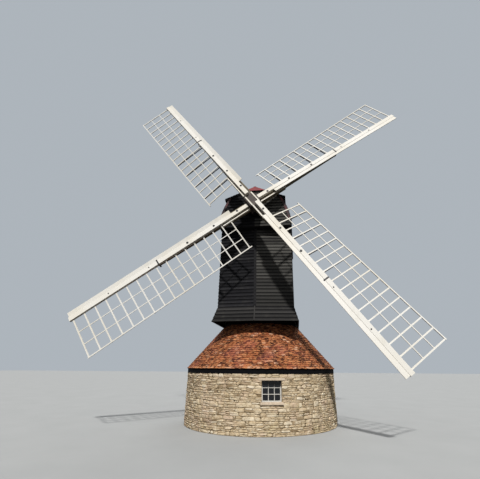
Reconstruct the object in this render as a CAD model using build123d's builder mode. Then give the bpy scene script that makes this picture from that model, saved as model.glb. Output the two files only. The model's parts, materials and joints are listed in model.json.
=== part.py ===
from build123d import *
from math import atan2, cos, degrees, hypot, radians, sin, sqrt, tan
import os

# A post mill: a timber body (the buck) that turns on a great post, over a round stone roundhouse.
# Millimetres, +Z up. The sails face -Y. Everything is laid out round the post, and post_y then
# puts the origin on the ground under the middle of the mill's overall length.

os.makedirs("parts", exist_ok=True)

post_y = -2305.9
overcut = 100

# Roundhouse: a rubble wall in bays under a conical tiled roof.
wall_radius = 3213
wall_thickness = 450
wall_height = 2060
wall_bays = 6
eaves_reach = 68
eaves_rise = 70
tile_edge = 40
roof_thickness = 100
roof_foot_inset = 213
roof_seat_inset = 40
roof_skirt_gap = 46
roof_top_gap = 103
roof_bays = 12
roof_joint = 0.5
fascia_thickness = 30
fascia_height = 150

# Roundhouse window, right of the middle of the front.
window_azimuth = 13.35
window_width = 720
window_height = 696
window_bottom = 1030
window_frame_width = 45
window_frame_depth = 90
window_setback = 95
glass_thickness = 6
sill_ledge = 55
sill_height = 75
sill_projection = 50
sill_depth = 230
sill_chamfer = 18
lintel_ledge = 120
lintel_height = 85
lintel_depth = 180
lintel_projection = 4

# Roundhouse door, at the rear.
door_width = 900
door_height = 1780
door_thickness = 45
door_setback = 120
door_leaf_inset = 15
door_frame_width = 80
door_frame_depth = 110

# Trestle: piers, crosstrees, quarter bars and the post.
timber = 300
lower_tree_bottom = 750
tree_end_gap = 163
pier_width = 550
pier_bearing = 450
post_square = 640
post_square_drop = 198
post_foot_gap = 20
post_round_radius = 315
post_top_radius = 285
post_rise = 2032
bearing_gap = 0.3
pintle_radius = 60
pintle_length = 150
pintle_chamfer = 10
bar_width = 230
bar_foot_inset = 150
bar_foot_length = 300
bar_head_drop = 100
bar_head_height = 350

# Buck: the walls, the flared petticoat round their foot, and the timbers inside.
half_width = 1612
front_y = -2131
breast_rise = 150
tail_y = 2750
wall_bottom = 4528
eaves_z = 8310
frame_wall = 120
end_wall = 100
trim_half_width = 55
trim_thickness = 26
skirt_height = 633
skirt_flare_side = 178
skirt_flare_end = 229
skirt_nose_ease = 10
skirt_board = 30
skirt_joint = 0.5
jetty_drop = 240
jetty_reach = 469
shaft_hole_gap = 60
sheer_gap = 45
sheer_width = 260
sheer_rise = 12
floor_board = 40
floor_hole_gap = 20
crown_height = 600
crown_width = 600
crown_chamfer = 40
socket_end_gap = 10
weather_beam_width = 450

# Roof of the buck.
roof_rise = 1825
hood_overhang = 190
hood_eave_rise = 1230
hood_thickness = 85
hood_front_reach = 60
hood_tail_reach = 170
lower_roof_eaves = 60
lower_roof_mid_inset = 202
lower_roof_mid_rise = 750
lower_roof_head_inset = 432
lower_roof_thickness = 100
lower_roof_front_reach = 30
lower_roof_tail_reach = 140
barge_thickness = 28
barge_depth = 110
barge_drop = 40
barge_belly = 25
apex_height = 215

# Tail: door, stage, ladder and tailpole.
tail_door_x = 420
tail_door_width = 720
tail_door_height = 1750
tail_door_thickness = 40
tail_door_inset = 30
stage_depth = 700
stage_half_width = 900
joist_width = 90
joist_depth = 110
joist_inset = 60
middle_joist_x = 100
ladder_pitch = 48
ladder_foot_gap = 60
ladder_string = 50
ladder_string_depth = 200
tread_thickness = 35
tread_depth = 190
tread_rise = 250
tailpole_x = -250
tailpole_pitch = 28
tailpole_length = 7300
tailpole_width = 220
tailpole_end_width = 150
tailpole_housing = 60

# Windshaft, its poll end and its bearings.
hub_reach = 535
hub_rise = 583
shaft_tilt = 8.1
canister_size = 540
canister_wall = 65
neck_radius = 210
neck_length = 1014
shaft_size = 500
journal_radius = 100
journal_lead = 190
journal_tail = 130
bearing_clearance = 0.3
bearing_bed = 90
bearing_wrap = 0.35
neck_bearing_length = 200
neck_bearing_width = 640
tail_bearing_length = 140
tail_bearing_width = 360
tail_beam_inset = 450
tail_beam_depth = 320

# Sails: two crossing stocks, four whips with their leading boards, and four lattices.
sail_angle = 35.88
sail_lean = 1.2
stock_half_length = 4850
stock_width = 280
stock_depth = 250
stock_end_width = 160
stock_end_depth = 150
stock_gap = 36
clamp_width = 55
front_clamp_reach = 1270
rear_clamp_reach = 1700
rear_whip_plane = 244
whip_depth = 160
whip_tip_depth = 110
whip_width = 180
whip_tip_width = 172
whip_offset = 50
whip_gap = 30
whip_overrun = 120
bar_count = 17
heel_radius = 1314
tip_radius = 8600
bar_root = 160
bar_stub_gap = 20
heel_bar_length = 1504
tip_bar_length = 1631
heel_weather = 17.1
tip_weather = 7.1
sail_bar_width = 50
sail_bar_depth = 32
uplong_width = 32
uplong_depth = 24
uplong_overrun = 25
hemlath_width = 45
hemlath_depth = 40
hemlath_heel_overrun = 120
hemlath_tip_overrun = 40
board_heel_start = 1120
board_heel_lead = 250
board_tip_lead = 232
board_tip_overrun = 90
board_thickness = 24
board_lap = 20
board_gap = 0.5
backstay_size = 36
backstay_foot_drop = 60
backstay_head_gap = 5
backstay_bars = (1, 3, 5, 7)

# Sizes that follow from the ones above.
bay_angle = 360 / wall_bays
inner_radius = wall_radius - wall_thickness
tile_edge_radius = wall_radius + eaves_reach
tile_edge_height = wall_height + eaves_rise
tile_lip = tile_edge_height - tile_edge
window_middle = window_bottom + window_height / 2
tree_reach = inner_radius - tree_end_gap
upper_tree_bottom = lower_tree_bottom + timber
post_bottom = upper_tree_bottom + timber + post_foot_gap
post_square_top = wall_bottom - post_square_drop
post_top = wall_bottom + post_rise

skirt_bottom = wall_bottom - skirt_height
skirt_inner = half_width + skirt_flare_side - skirt_board
roof_climb = skirt_bottom - roof_skirt_gap - tile_edge_height
roof_rise_per_run = roof_climb / (tile_edge_radius - skirt_inner)
roof_top_height = wall_bottom - roof_top_gap
roof_top_radius = tile_edge_radius - (roof_top_height - tile_edge_height) / roof_rise_per_run

wall_inner = half_width - frame_wall
breast_back = front_y + end_wall
tail_face = tail_y - end_wall
jetty_bottom = eaves_z - jetty_drop
gable_y = front_y - jetty_reach
gable_back = gable_y + end_wall
sheer_inner = post_round_radius + sheer_gap
sheer_bottom = wall_bottom + sheer_rise
sheer_top = sheer_bottom + timber
floor_top = sheer_top + floor_board

roof_ridge = eaves_z + roof_rise
lower_roof_foot_x = half_width + lower_roof_eaves
lower_roof_mid_x = lower_roof_foot_x - lower_roof_mid_inset
lower_roof_mid_z = eaves_z + lower_roof_mid_rise
lower_roof_head_x = lower_roof_foot_x - lower_roof_head_inset
hood_eave_x = lower_roof_head_x + hood_overhang
hood_eave_z = eaves_z + hood_eave_rise
hood_fall = (roof_ridge - hood_eave_z) / hood_eave_x
hood_front_y = gable_y - hood_front_reach
hood_tail_y = tail_y + hood_tail_reach
lower_roof_front_y = gable_y - lower_roof_front_reach
lower_roof_tail_y = tail_y + lower_roof_tail_reach

hub_y = gable_y - hub_reach
hub_z = eaves_z + hub_rise
tilt_cos = cos(radians(shaft_tilt))
tilt_sin = sin(radians(shaft_tilt))
spindle = (0, -tilt_cos, tilt_sin)
hub_plane = Plane(origin=(0, hub_y, hub_z), x_dir=(1, 0, 0), z_dir=spindle)
tail_beam_y = tail_y - tail_beam_inset
weather_beam_y = gable_back + weather_beam_width / 2
tail_bearing_reach = (tail_beam_y - hub_y) / tilt_cos
shaft_body_end = tail_bearing_reach - journal_lead
shaft_end = tail_bearing_reach + journal_tail

front_whip_plane = rear_whip_plane + stock_depth + stock_gap
whip_start = canister_size / 2 + whip_gap
whip_tip = tip_radius + whip_overrun


def shaft_height(y):
    """Height of the windshaft's centre line at a distance y along the mill."""
    return hub_z - (y - hub_y) * tan(radians(shaft_tilt))


def stock_face(plane_z, along):
    """Front of a stock at a distance from the hub, under the back of its leaning whips."""
    lean = radians(sail_lean)
    heel_back = plane_z - whip_depth / 2
    tip_back = plane_z - whip_tip_depth / 2
    heel_x = whip_start * cos(lean) + heel_back * sin(lean)
    heel_z = heel_back * cos(lean) - whip_start * sin(lean)
    tip_x = whip_tip * cos(lean) + tip_back * sin(lean)
    tip_z = tip_back * cos(lean) - whip_tip * sin(lean)
    return heel_z + (along - heel_x) * (tip_z - heel_z) / (tip_x - heel_x)


def hood_under(x):
    """Height of the underside of the upper roof at a distance x from the ridge."""
    return roof_ridge - hood_thickness - hood_fall * abs(x)


weather_beam_top = shaft_height(weather_beam_y) - neck_radius - bearing_bed
tail_beam_top = shaft_height(tail_beam_y) - journal_radius - bearing_bed
front_stock_face = stock_face(front_whip_plane, 0)
rear_stock_face = stock_face(rear_whip_plane, 0)
canister_back = rear_stock_face - stock_depth - canister_wall
mortise_width = stock_width + 2 * clamp_width


def save(piece, name):
    """Write one piece, moved from the post's axis to its place in the mill's overall length."""
    placed = piece.moved(Location((0, post_y, 0)))
    placed.label = name
    export_step(placed, "parts/" + name + ".step")


def together(name, pieces):
    """Save several separate solids as one node."""
    with BuildPart() as group:
        for piece in pieces:
            add(piece)
    save(group.part, name)


def radial_plane(azimuth, distance, height):
    """Plane facing outward at an azimuth measured from the front (-Y) towards +X."""
    turn = radians(azimuth)
    outward = (sin(turn), -cos(turn), 0)
    place = (distance * sin(turn), -distance * cos(turn), height)
    return Plane(origin=place, x_dir=(cos(turn), sin(turn), 0), z_dir=outward)


def wall_bay(name, centre_azimuth):
    """One bay of the round rubble wall, with whichever opening falls inside it."""
    first = centre_azimuth - bay_angle / 2 - 90
    with BuildPart() as bay:
        with BuildSketch(Plane.XY):
            with BuildLine():
                outer = CenterArc((0, 0), wall_radius, first, bay_angle)
                inner = CenterArc((0, 0), inner_radius, first, bay_angle)
                Line(outer @ 0, inner @ 0)
                Line(outer @ 1, inner @ 1)
            make_face()
        extrude(amount=wall_height)
        if name == "wall_front":
            with BuildSketch(radial_plane(window_azimuth, wall_radius + overcut, window_middle)):
                Rectangle(window_width, window_height)
            extrude(amount=-wall_thickness - 2 * overcut, mode=Mode.SUBTRACT)
            with BuildSketch(sill_plane()):
                Rectangle(window_width + 2 * sill_ledge, sill_height)
            extrude(amount=-sill_depth, mode=Mode.SUBTRACT)
            with BuildSketch(lintel_plane()):
                Rectangle(window_width + 2 * lintel_ledge, lintel_height)
            extrude(amount=-lintel_depth, mode=Mode.SUBTRACT)
        if name == "wall_rear":
            with BuildSketch(radial_plane(180, wall_radius + overcut, door_height / 2)):
                Rectangle(door_width + 2 * door_frame_width, door_height)
            extrude(amount=-wall_thickness - 2 * overcut, mode=Mode.SUBTRACT)
    save(bay.part, name)


def sill_plane():
    return radial_plane(window_azimuth, wall_radius + sill_projection, window_bottom - sill_height / 2)


def lintel_plane():
    top = window_bottom + window_height
    return radial_plane(window_azimuth, wall_radius + lintel_projection, top + lintel_height / 2)


def window():
    """Window casing, its glass, the stone sill and the flat timber lintel."""
    face = sqrt(wall_radius**2 - (window_width / 2) ** 2) - window_setback
    glass_plane = radial_plane(window_azimuth, face - window_frame_depth / 2, window_middle)
    glass_width = window_width - window_frame_width
    glass_height = window_height - window_frame_width
    with BuildPart() as casing:
        with BuildSketch(radial_plane(window_azimuth, face, window_middle)):
            Rectangle(window_width, window_height)
            Rectangle(
                glass_width - window_frame_width, glass_height - window_frame_width, mode=Mode.SUBTRACT
            )
        extrude(amount=-window_frame_depth)
        with BuildSketch(glass_plane):
            Rectangle(glass_width, glass_height)
        extrude(amount=-glass_thickness, mode=Mode.SUBTRACT)
    save(casing.part, "window_frame")
    with BuildPart() as glass:
        with BuildSketch(glass_plane):
            Rectangle(glass_width, glass_height)
        extrude(amount=-glass_thickness)
    save(glass.part, "window_glass")
    with BuildPart() as sill:
        with BuildSketch(sill_plane()):
            Rectangle(window_width + 2 * sill_ledge, sill_height)
        extrude(amount=-sill_depth)
        outer = sill.faces().sort_by(SortBy.DISTANCE)[-1]
        chamfer(outer.edges().sort_by(Axis.Z)[-1], sill_chamfer)
    save(sill.part, "window_sill")
    with BuildPart() as lintel:
        with BuildSketch(lintel_plane()):
            Rectangle(window_width + 2 * lintel_ledge, lintel_height)
        extrude(amount=-lintel_depth)
    save(lintel.part, "window_lintel")


def doorway():
    """Plank door and its frame in the rear bay of the wall."""
    face = wall_radius - door_setback
    leaf_height = door_height - door_frame_width
    with BuildPart() as frame:
        with BuildSketch(radial_plane(180, face, door_height / 2)):
            Rectangle(door_width + 2 * door_frame_width, door_height)
            with Locations((0, -door_frame_width / 2)):
                Rectangle(door_width, leaf_height, mode=Mode.SUBTRACT)
        extrude(amount=-door_frame_depth)
    save(frame.part, "door_frame")
    with BuildPart() as leaf:
        with BuildSketch(radial_plane(180, face - door_leaf_inset, leaf_height / 2)):
            Rectangle(door_width, leaf_height)
        extrude(amount=-door_thickness)
    save(leaf.part, "roundhouse_door")


def roundhouse_roof():
    """Conical roof in bays between its rafters, with the eaves foot that sits on the wall."""
    sheath = roof_thickness * hypot(1, roof_rise_per_run)
    foot_radius = wall_radius - roof_foot_inset
    foot_height = tile_edge_height + (tile_edge_radius - foot_radius) * roof_rise_per_run - sheath
    seat_radius = wall_radius - roof_seat_inset
    first = 180 / roof_bays - 90
    gap_turn = degrees(roof_joint / tile_edge_radius)
    with BuildPart() as roof:
        with BuildSketch(Plane.XZ.rotated((0, 0, first))):
            with BuildLine():
                Polyline(
                    (tile_edge_radius, tile_lip),
                    (tile_edge_radius, tile_edge_height),
                    (roof_top_radius, roof_top_height),
                    (roof_top_radius, roof_top_height - sheath),
                    (foot_radius, foot_height),
                    (foot_radius, wall_height),
                    (seat_radius, wall_height),
                    (seat_radius, tile_lip),
                    close=True,
                )
            make_face()
        revolve(axis=Axis.Z, revolution_arc=360 / roof_bays - gap_turn)
    bays = [roof.part.rotate(Axis.Z, 360 / roof_bays * bay) for bay in range(roof_bays)]
    together("roundhouse_roof", bays)


def eaves_fascia():
    """Black board round the wall head, under the tile edge."""
    with BuildPart() as board:
        with BuildSketch(Plane.XY.offset(tile_lip - fascia_height)):
            Circle(wall_radius + fascia_thickness)
            Circle(wall_radius, mode=Mode.SUBTRACT)
        extrude(amount=fascia_height)
    save(board.part, "eaves_fascia")


def diagonal(azimuth, height):
    """Level plane with its X axis along a crosstree."""
    turn = radians(azimuth)
    return Plane(origin=(0, 0, height), x_dir=(cos(turn), sin(turn), 0), z_dir=(0, 0, 1))


def crosstree(name, azimuth, bottom):
    with BuildPart() as tree:
        with BuildSketch(diagonal(azimuth, bottom)):
            Rectangle(2 * tree_reach, timber)
        extrude(amount=timber)
    save(tree.part, name)


def piers():
    """Four piers against the wall, two tall and two short, that carry the crosstrees' ends."""
    first = tree_reach - pier_bearing
    length = inner_radius + overcut - first
    middle = first + length / 2
    with BuildPart() as stacks:
        for azimuth, height in ((45, lower_tree_bottom), (135, upper_tree_bottom)):
            with BuildSketch(diagonal(azimuth, 0)):
                with Locations((middle, 0), (-middle, 0)):
                    Rectangle(length, pier_width)
            extrude(amount=height)
        with BuildSketch(Plane.XY):
            Circle(inner_radius)
        extrude(amount=upper_tree_bottom, mode=Mode.INTERSECT)
    save(stacks.part, "trestle_piers")


def quarter_bars():
    """Four raking struts from the crosstrees up to the square of the post."""
    outer = tree_reach - bar_foot_inset
    head_high = post_square_top - bar_head_drop
    with BuildPart() as bars:
        for azimuth, tree_bottom in ((45, lower_tree_bottom), (135, upper_tree_bottom)):
            foot = tree_bottom + timber
            turn = radians(azimuth)
            side = Plane(origin=(0, 0, 0), x_dir=(cos(turn), sin(turn), 0), z_dir=(sin(turn), -cos(turn), 0))
            for way in (1, -1):
                with BuildSketch(side):
                    with BuildLine():
                        Polyline(
                            (way * outer, foot),
                            (way * (outer - bar_foot_length), foot),
                            (way * post_square / 2, head_high - bar_head_height),
                            (way * post_square / 2, head_high),
                            close=True,
                        )
                    make_face()
                extrude(amount=bar_width / 2, both=True)
    save(bars.part, "quarter_bars")


def great_post():
    """The post: square where the quarter bars meet it, round and tapering above, with a pintle."""
    with BuildPart() as post:
        with BuildSketch(diagonal(45, post_bottom)):
            Rectangle(post_square, post_square)
        extrude(amount=post_square_top - post_bottom)
        with BuildSketch(Plane.XY.offset(post_square_top)):
            Circle(post_round_radius)
        with BuildSketch(Plane.XY.offset(post_top)):
            Circle(post_top_radius)
        loft()
        with BuildSketch(Plane.XY.offset(post_top)):
            Circle(pintle_radius)
        extrude(amount=pintle_length)
        chamfer(post.faces().sort_by(Axis.Z)[-1].edges(), pintle_chamfer)
    save(post.part, "post")


def breast_line(offset_y):
    """Corner, nose and corner of the breast in plan."""
    nose = (0, front_y - breast_rise + offset_y)
    return (half_width, front_y + offset_y), nose, (-half_width, front_y + offset_y)


def breast():
    """Breast of the buck, a shallow V in plan, with the trim board up its middle."""
    right, nose, left = breast_line(0)
    right_in, nose_in, left_in = breast_line(end_wall)
    height = jetty_bottom - wall_bottom
    with BuildPart() as wall:
        with BuildSketch(Plane.XY.offset(wall_bottom)):
            with BuildLine():
                Polyline(right, nose, left, left_in, nose_in, right_in, close=True)
            make_face()
        extrude(amount=height)
    save(wall.part, "breast_wall")
    edge_y = nose[1] + trim_half_width * breast_rise / half_width
    with BuildPart() as trim:
        with BuildSketch(Plane.XY.offset(wall_bottom)):
            with BuildLine():
                Polyline(
                    nose,
                    (trim_half_width, edge_y),
                    (trim_half_width, edge_y - trim_thickness),
                    (0, nose[1] - trim_thickness),
                    (-trim_half_width, edge_y - trim_thickness),
                    (-trim_half_width, edge_y),
                    close=True,
                )
            make_face()
        extrude(amount=height)
    save(trim.part, "breast_trim")


def side_wall(name, side):
    """Side of the buck, stepping forward at the top under the jettied gable."""
    with BuildPart() as wall:
        with BuildSketch(Plane.YZ.offset(side * half_width)):
            with BuildLine():
                Polyline(
                    (breast_back, wall_bottom),
                    (tail_face, wall_bottom),
                    (tail_face, eaves_z),
                    (gable_back, eaves_z),
                    (gable_back, jetty_bottom),
                    (breast_back, jetty_bottom),
                    close=True,
                )
            make_face()
        extrude(amount=-side * frame_wall)
    save(wall.part, name)


def gable_outline(bottom):
    """Edges of an end wall that fills the roof's inner profile down to a level."""
    head = lower_roof_head_x - lower_roof_thickness
    foot = lower_roof_foot_x - lower_roof_thickness
    mid = lower_roof_mid_x - lower_roof_thickness
    ThreePointArc((foot, eaves_z), (mid, lower_roof_mid_z), (head, hood_under(head)))
    Line((head, hood_under(head)), (0, hood_under(0)))
    Line((0, hood_under(0)), (-head, hood_under(head)))
    ThreePointArc((-head, hood_under(head)), (-mid, lower_roof_mid_z), (-foot, eaves_z))
    Line((-foot, eaves_z), (-half_width, eaves_z))
    Line((-half_width, eaves_z), (-half_width, bottom))
    Line((-half_width, bottom), (half_width, bottom))
    Line((half_width, bottom), (half_width, eaves_z))
    Line((half_width, eaves_z), (foot, eaves_z))


def end_walls():
    """Jettied front gable with the windshaft's opening, and the tail wall with its doorway."""
    with BuildPart() as front:
        with BuildSketch(Plane.XZ.offset(-gable_y)):
            with BuildLine():
                gable_outline(jetty_bottom)
            make_face()
        extrude(amount=-end_wall)
        with BuildSketch(hub_plane):
            Circle(neck_radius + shaft_hole_gap)
        extrude(amount=-2 * hub_reach, mode=Mode.SUBTRACT)
    save(front.part, "front_gable")
    with BuildPart() as tail:
        with BuildSketch(Plane.XZ.offset(-tail_y)):
            with BuildLine():
                gable_outline(wall_bottom)
            make_face()
        extrude(amount=end_wall)
        with BuildSketch(Plane.XZ.offset(-tail_y)):
            with Locations((tail_door_x, floor_top + tail_door_height / 2)):
                Rectangle(tail_door_width, tail_door_height)
        extrude(amount=end_wall, mode=Mode.SUBTRACT)
    save(tail.part, "tail_wall")
    with BuildPart() as leaf:
        with BuildSketch(Plane.XZ.offset(-tail_y + tail_door_inset)):
            with Locations((tail_door_x, floor_top + tail_door_height / 2)):
                Rectangle(tail_door_width, tail_door_height)
        extrude(amount=tail_door_thickness)
    save(leaf.part, "tail_door")


def skirt_outline(half, front, nose, rear):
    Polyline((half, front), (0, nose), (-half, front), (-half, rear), (half, rear), close=True)


def petticoat():
    """Flared boards round the foot of the buck, mitred at its corners and at the nose."""
    low_half = half_width + skirt_flare_side
    low_front = front_y - skirt_flare_end
    low_nose = low_front - breast_rise + skirt_nose_ease
    low_rear = tail_y + skirt_flare_end
    nose = front_y - breast_rise
    board = skirt_board
    with BuildPart() as skirt:
        with BuildSketch(Plane.XY.offset(wall_bottom)):
            with BuildLine():
                skirt_outline(half_width, front_y, nose, tail_y)
            make_face()
        with BuildSketch(Plane.XY.offset(skirt_bottom)):
            with BuildLine():
                skirt_outline(low_half, low_front, low_nose, low_rear)
            make_face()
        loft()
        with BuildSketch(Plane.XY.offset(wall_bottom)):
            with BuildLine():
                skirt_outline(half_width - board, front_y + board, nose + board, tail_y - board)
            make_face()
        with BuildSketch(Plane.XY.offset(skirt_bottom)):
            with BuildLine():
                skirt_outline(low_half - board, low_front + board, low_nose + board, low_rear - board)
            make_face()
        loft(mode=Mode.SUBTRACT)
        for side in (1, -1):
            for wall_y, low_y in ((front_y, low_front), (tail_y, low_rear)):
                turn = degrees(atan2(low_y - wall_y, side * skirt_flare_side))
                with Locations(Location((side * low_half, low_y, skirt_bottom), (0, 0, turn))):
                    Box(4 * skirt_flare_end, skirt_joint, 3 * skirt_height, mode=Mode.SUBTRACT)
        with Locations((0, nose, skirt_bottom)):
            Box(skirt_joint, 4 * skirt_flare_end, 3 * skirt_height, mode=Mode.SUBTRACT)
    save(skirt.part, "petticoat")


def buck_frame():
    """Timbers that carry the buck: sheers, floor, crown tree and weather beam."""
    sheer_x = sheer_inner + sheer_width / 2
    sheer_y = (breast_back + tail_face) / 2
    with BuildPart() as sheers:
        with BuildSketch(Plane.XY.offset(sheer_bottom)):
            with Locations((sheer_x, sheer_y), (-sheer_x, sheer_y)):
                Rectangle(sheer_width, tail_face - breast_back)
        extrude(amount=timber)
    save(sheers.part, "sheers")
    nose_y = breast_back - breast_rise
    edge_y = nose_y + breast_rise * wall_inner / half_width
    with BuildPart() as floor:
        with BuildSketch(Plane.XY.offset(sheer_top)):
            with BuildLine():
                Polyline(
                    (wall_inner, edge_y),
                    (0, nose_y),
                    (-wall_inner, edge_y),
                    (-wall_inner, tail_face),
                    (wall_inner, tail_face),
                    close=True,
                )
            make_face()
            Circle(sheer_inner + floor_hole_gap, mode=Mode.SUBTRACT)
        extrude(amount=floor_board)
    save(floor.part, "buck_floor")
    with BuildPart() as crown:
        with BuildSketch(Plane.XY.offset(post_top + bearing_gap)):
            Rectangle(2 * wall_inner, crown_width)
        extrude(amount=crown_height)
        with BuildSketch(Plane.XY.offset(post_top)):
            Circle(pintle_radius + bearing_gap)
        extrude(amount=pintle_length + socket_end_gap, mode=Mode.SUBTRACT)
        chamfer(crown.edges().filter_by(Axis.X), crown_chamfer)
    save(crown.part, "crown_tree")
    with BuildPart() as beam:
        with BuildSketch(Plane.XY.offset(jetty_bottom)):
            with Locations((0, weather_beam_y)):
                Rectangle(2 * wall_inner, weather_beam_width)
        extrude(amount=weather_beam_top - jetty_bottom)
    save(beam.part, "weather_beam")


def bearing(name, y, seat_z, radius, length, width):
    """Bearing block hollowed to the shaft that lies in it."""
    with BuildPart() as block:
        with BuildSketch(Plane.XY.offset(seat_z)):
            with Locations((0, y)):
                Rectangle(width, length)
        extrude(amount=shaft_height(y) - radius * bearing_wrap - seat_z)
        with BuildSketch(hub_plane):
            Circle(radius + bearing_clearance)
        extrude(amount=-shaft_end - overcut, mode=Mode.SUBTRACT)
    save(block.part, name)


def bearings():
    """Neck and tail bearings, and the beam that carries the tail one."""
    bearing(
        "neck_bearing", weather_beam_y, weather_beam_top, neck_radius, neck_bearing_length, neck_bearing_width
    )
    bearing(
        "tail_bearing", tail_beam_y, tail_beam_top, journal_radius, tail_bearing_length, tail_bearing_width
    )
    with BuildPart() as beam:
        with BuildSketch(Plane.XY.offset(tail_beam_top - tail_beam_depth)):
            with Locations((0, tail_beam_y)):
                Rectangle(2 * wall_inner, tail_beam_depth)
        extrude(amount=tail_beam_depth)
    save(beam.part, "tail_beam")


def buck_roof():
    """Roof of the buck: steep curved lower sides under a shallow upper roof that oversails them."""
    head = lower_roof_head_x
    foot = lower_roof_foot_x
    mid = lower_roof_mid_x
    deep = lower_roof_thickness
    with BuildPart() as lower:
        for side in (1, -1):
            with BuildSketch(Plane.XZ.offset(-lower_roof_front_y)):
                with BuildLine():
                    outer = ThreePointArc(
                        (side * foot, eaves_z),
                        (side * mid, lower_roof_mid_z),
                        (side * head, hood_under(head)),
                    )
                    top = Line(outer @ 1, (side * (head - deep), hood_under(head - deep)))
                    inner = ThreePointArc(
                        top @ 1,
                        (side * (mid - deep), lower_roof_mid_z),
                        (side * (foot - deep), eaves_z),
                    )
                    Line(inner @ 1, outer @ 0)
                make_face()
            extrude(amount=lower_roof_front_y - lower_roof_tail_y)
    save(lower.part, "lower_roof")
    with BuildPart() as upper:
        with BuildSketch(Plane.XZ.offset(-hood_front_y)):
            with BuildLine():
                Polyline(
                    (0, roof_ridge),
                    (hood_eave_x, hood_eave_z),
                    (hood_eave_x, hood_under(hood_eave_x)),
                    (0, hood_under(0)),
                    (-hood_eave_x, hood_under(hood_eave_x)),
                    (-hood_eave_x, hood_eave_z),
                    close=True,
                )
            make_face()
        extrude(amount=hood_front_y - hood_tail_y)
    save(upper.part, "upper_roof")
    barge_boards("front_bargeboards", lower_roof_front_y, hood_front_y, -1)
    barge_boards("tail_bargeboards", lower_roof_tail_y, hood_tail_y, 1)


def barge_boards(name, lower_y, hood_y, way):
    """Red boards that follow the edge of the lower roof, and the apex board at the ridge end."""
    head = lower_roof_head_x
    foot = lower_roof_foot_x
    apex_half = apex_height / hood_fall
    with BuildPart() as boards:
        for side in (1, -1):
            with BuildSketch(Plane.XZ.offset(-lower_y)):
                with BuildLine():
                    outer = ThreePointArc(
                        (side * foot, eaves_z - barge_drop),
                        (side * lower_roof_mid_x, lower_roof_mid_z),
                        (side * head, hood_under(head)),
                    )
                    cap = Line(outer @ 1, (side * (head - barge_depth), hood_under(head - barge_depth)))
                    inner = ThreePointArc(
                        cap @ 1,
                        (side * (lower_roof_mid_x - barge_depth), lower_roof_mid_z - barge_belly),
                        (side * (foot - barge_depth), eaves_z - barge_drop),
                    )
                    Line(inner @ 1, outer @ 0)
                make_face()
            extrude(amount=-way * barge_thickness)
        with BuildSketch(Plane.XZ.offset(-hood_y)):
            with BuildLine():
                Polyline(
                    (0, roof_ridge),
                    (apex_half, roof_ridge - apex_height),
                    (-apex_half, roof_ridge - apex_height),
                    close=True,
                )
            make_face()
        extrude(amount=-way * barge_thickness)
    save(boards.part, name)


def stage():
    """Boarded stage outside the tail door, on three joists."""
    middle_y = tail_y + stage_depth / 2
    outer_joist = stage_half_width - joist_inset
    with BuildPart() as deck:
        with BuildSketch(Plane.XY.offset(sheer_top)):
            with Locations((0, middle_y)):
                Rectangle(2 * stage_half_width, stage_depth)
        extrude(amount=floor_board)
        with BuildSketch(Plane.XY.offset(sheer_top)):
            with Locations((-outer_joist, middle_y), (middle_joist_x, middle_y), (outer_joist, middle_y)):
                Rectangle(joist_width, stage_depth)
        extrude(amount=-joist_depth)
    save(deck.part, "tail_stage")


def ladder():
    """Ladder from the stage down towards the ground, clear of it so that the buck can turn."""
    drop = floor_top - ladder_foot_gap
    slope = tan(radians(ladder_pitch))
    run = drop / slope
    head_y = tail_y + stage_depth
    deep = ladder_string_depth / sin(radians(ladder_pitch))
    with BuildPart() as strings:
        for side in (1, -1):
            string_x = tail_door_x + side * (tail_door_width - ladder_string) / 2
            with BuildSketch(Plane.YZ.offset(string_x)):
                with BuildLine():
                    Polyline(
                        (head_y, floor_top),
                        (head_y + run, ladder_foot_gap),
                        (head_y + run - deep, ladder_foot_gap),
                        (head_y, floor_top - deep * slope),
                        close=True,
                    )
                make_face()
            extrude(amount=ladder_string / 2, both=True)
    save(strings.part, "ladder_strings")
    with BuildPart() as treads:
        for step in range(1, int(drop / tread_rise)):
            fall = step * tread_rise
            with Locations((tail_door_x, head_y + fall / slope - deep / 2, floor_top - fall)):
                Box(tail_door_width - 2 * ladder_string, tread_depth, tread_thickness)
    save(treads.part, "ladder_treads")


def tailpole():
    """Tapering pole that slopes down from the buck's floor, by which the mill is turned to the wind."""
    turn = radians(tailpole_pitch)
    along = (0, cos(turn), -sin(turn))
    head = (tailpole_x, tail_y - tailpole_housing, (sheer_bottom + sheer_top) / 2)
    across = Plane(origin=head, x_dir=(1, 0, 0), z_dir=along)
    with BuildPart() as pole:
        with BuildSketch(across):
            Rectangle(tailpole_width, tailpole_width)
        with BuildSketch(across.offset(tailpole_length)):
            Rectangle(tailpole_end_width, tailpole_end_width)
        loft()
        split(bisect_by=Plane.XZ.offset(-tail_y), keep=Keep.BOTTOM)
    save(pole.part, "tailpole")


def sail_plane(turns, lean=0.0):
    """Plane along one sail: X outward, Y towards the lattice, Z forward, leaning back by an angle."""
    angle = radians(sail_angle + 90 * turns)
    outward = Vector(cos(angle), sin(angle) * tilt_sin, sin(angle) * tilt_cos)
    forward = Vector(*spindle)
    back = radians(lean)
    return Plane(
        origin=(0, hub_y, hub_z),
        x_dir=outward * cos(back) - forward * sin(back),
        z_dir=forward * cos(back) + outward * sin(back),
    )


def set_sail(piece, turns):
    """Put a piece that lies along X in its sail, which leans back with the front of its stock."""
    return piece.moved(sail_plane(turns, sail_lean).location)


def along_sail(number, heel, tip):
    """A value that changes evenly from the heel bar, number 0, to the tip bar."""
    return heel + (tip - heel) * number / (bar_count - 1)


def bar_radius(number):
    return along_sail(number, heel_radius, tip_radius)


def weather(number):
    """Angle of a bar to the plane of the sails."""
    return along_sail(number, heel_weather, tip_weather)


def board_lead(number):
    """How far the leading board reaches beyond the sail's centre line at a bar."""
    return along_sail(number, board_heel_lead, board_tip_lead)


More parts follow.
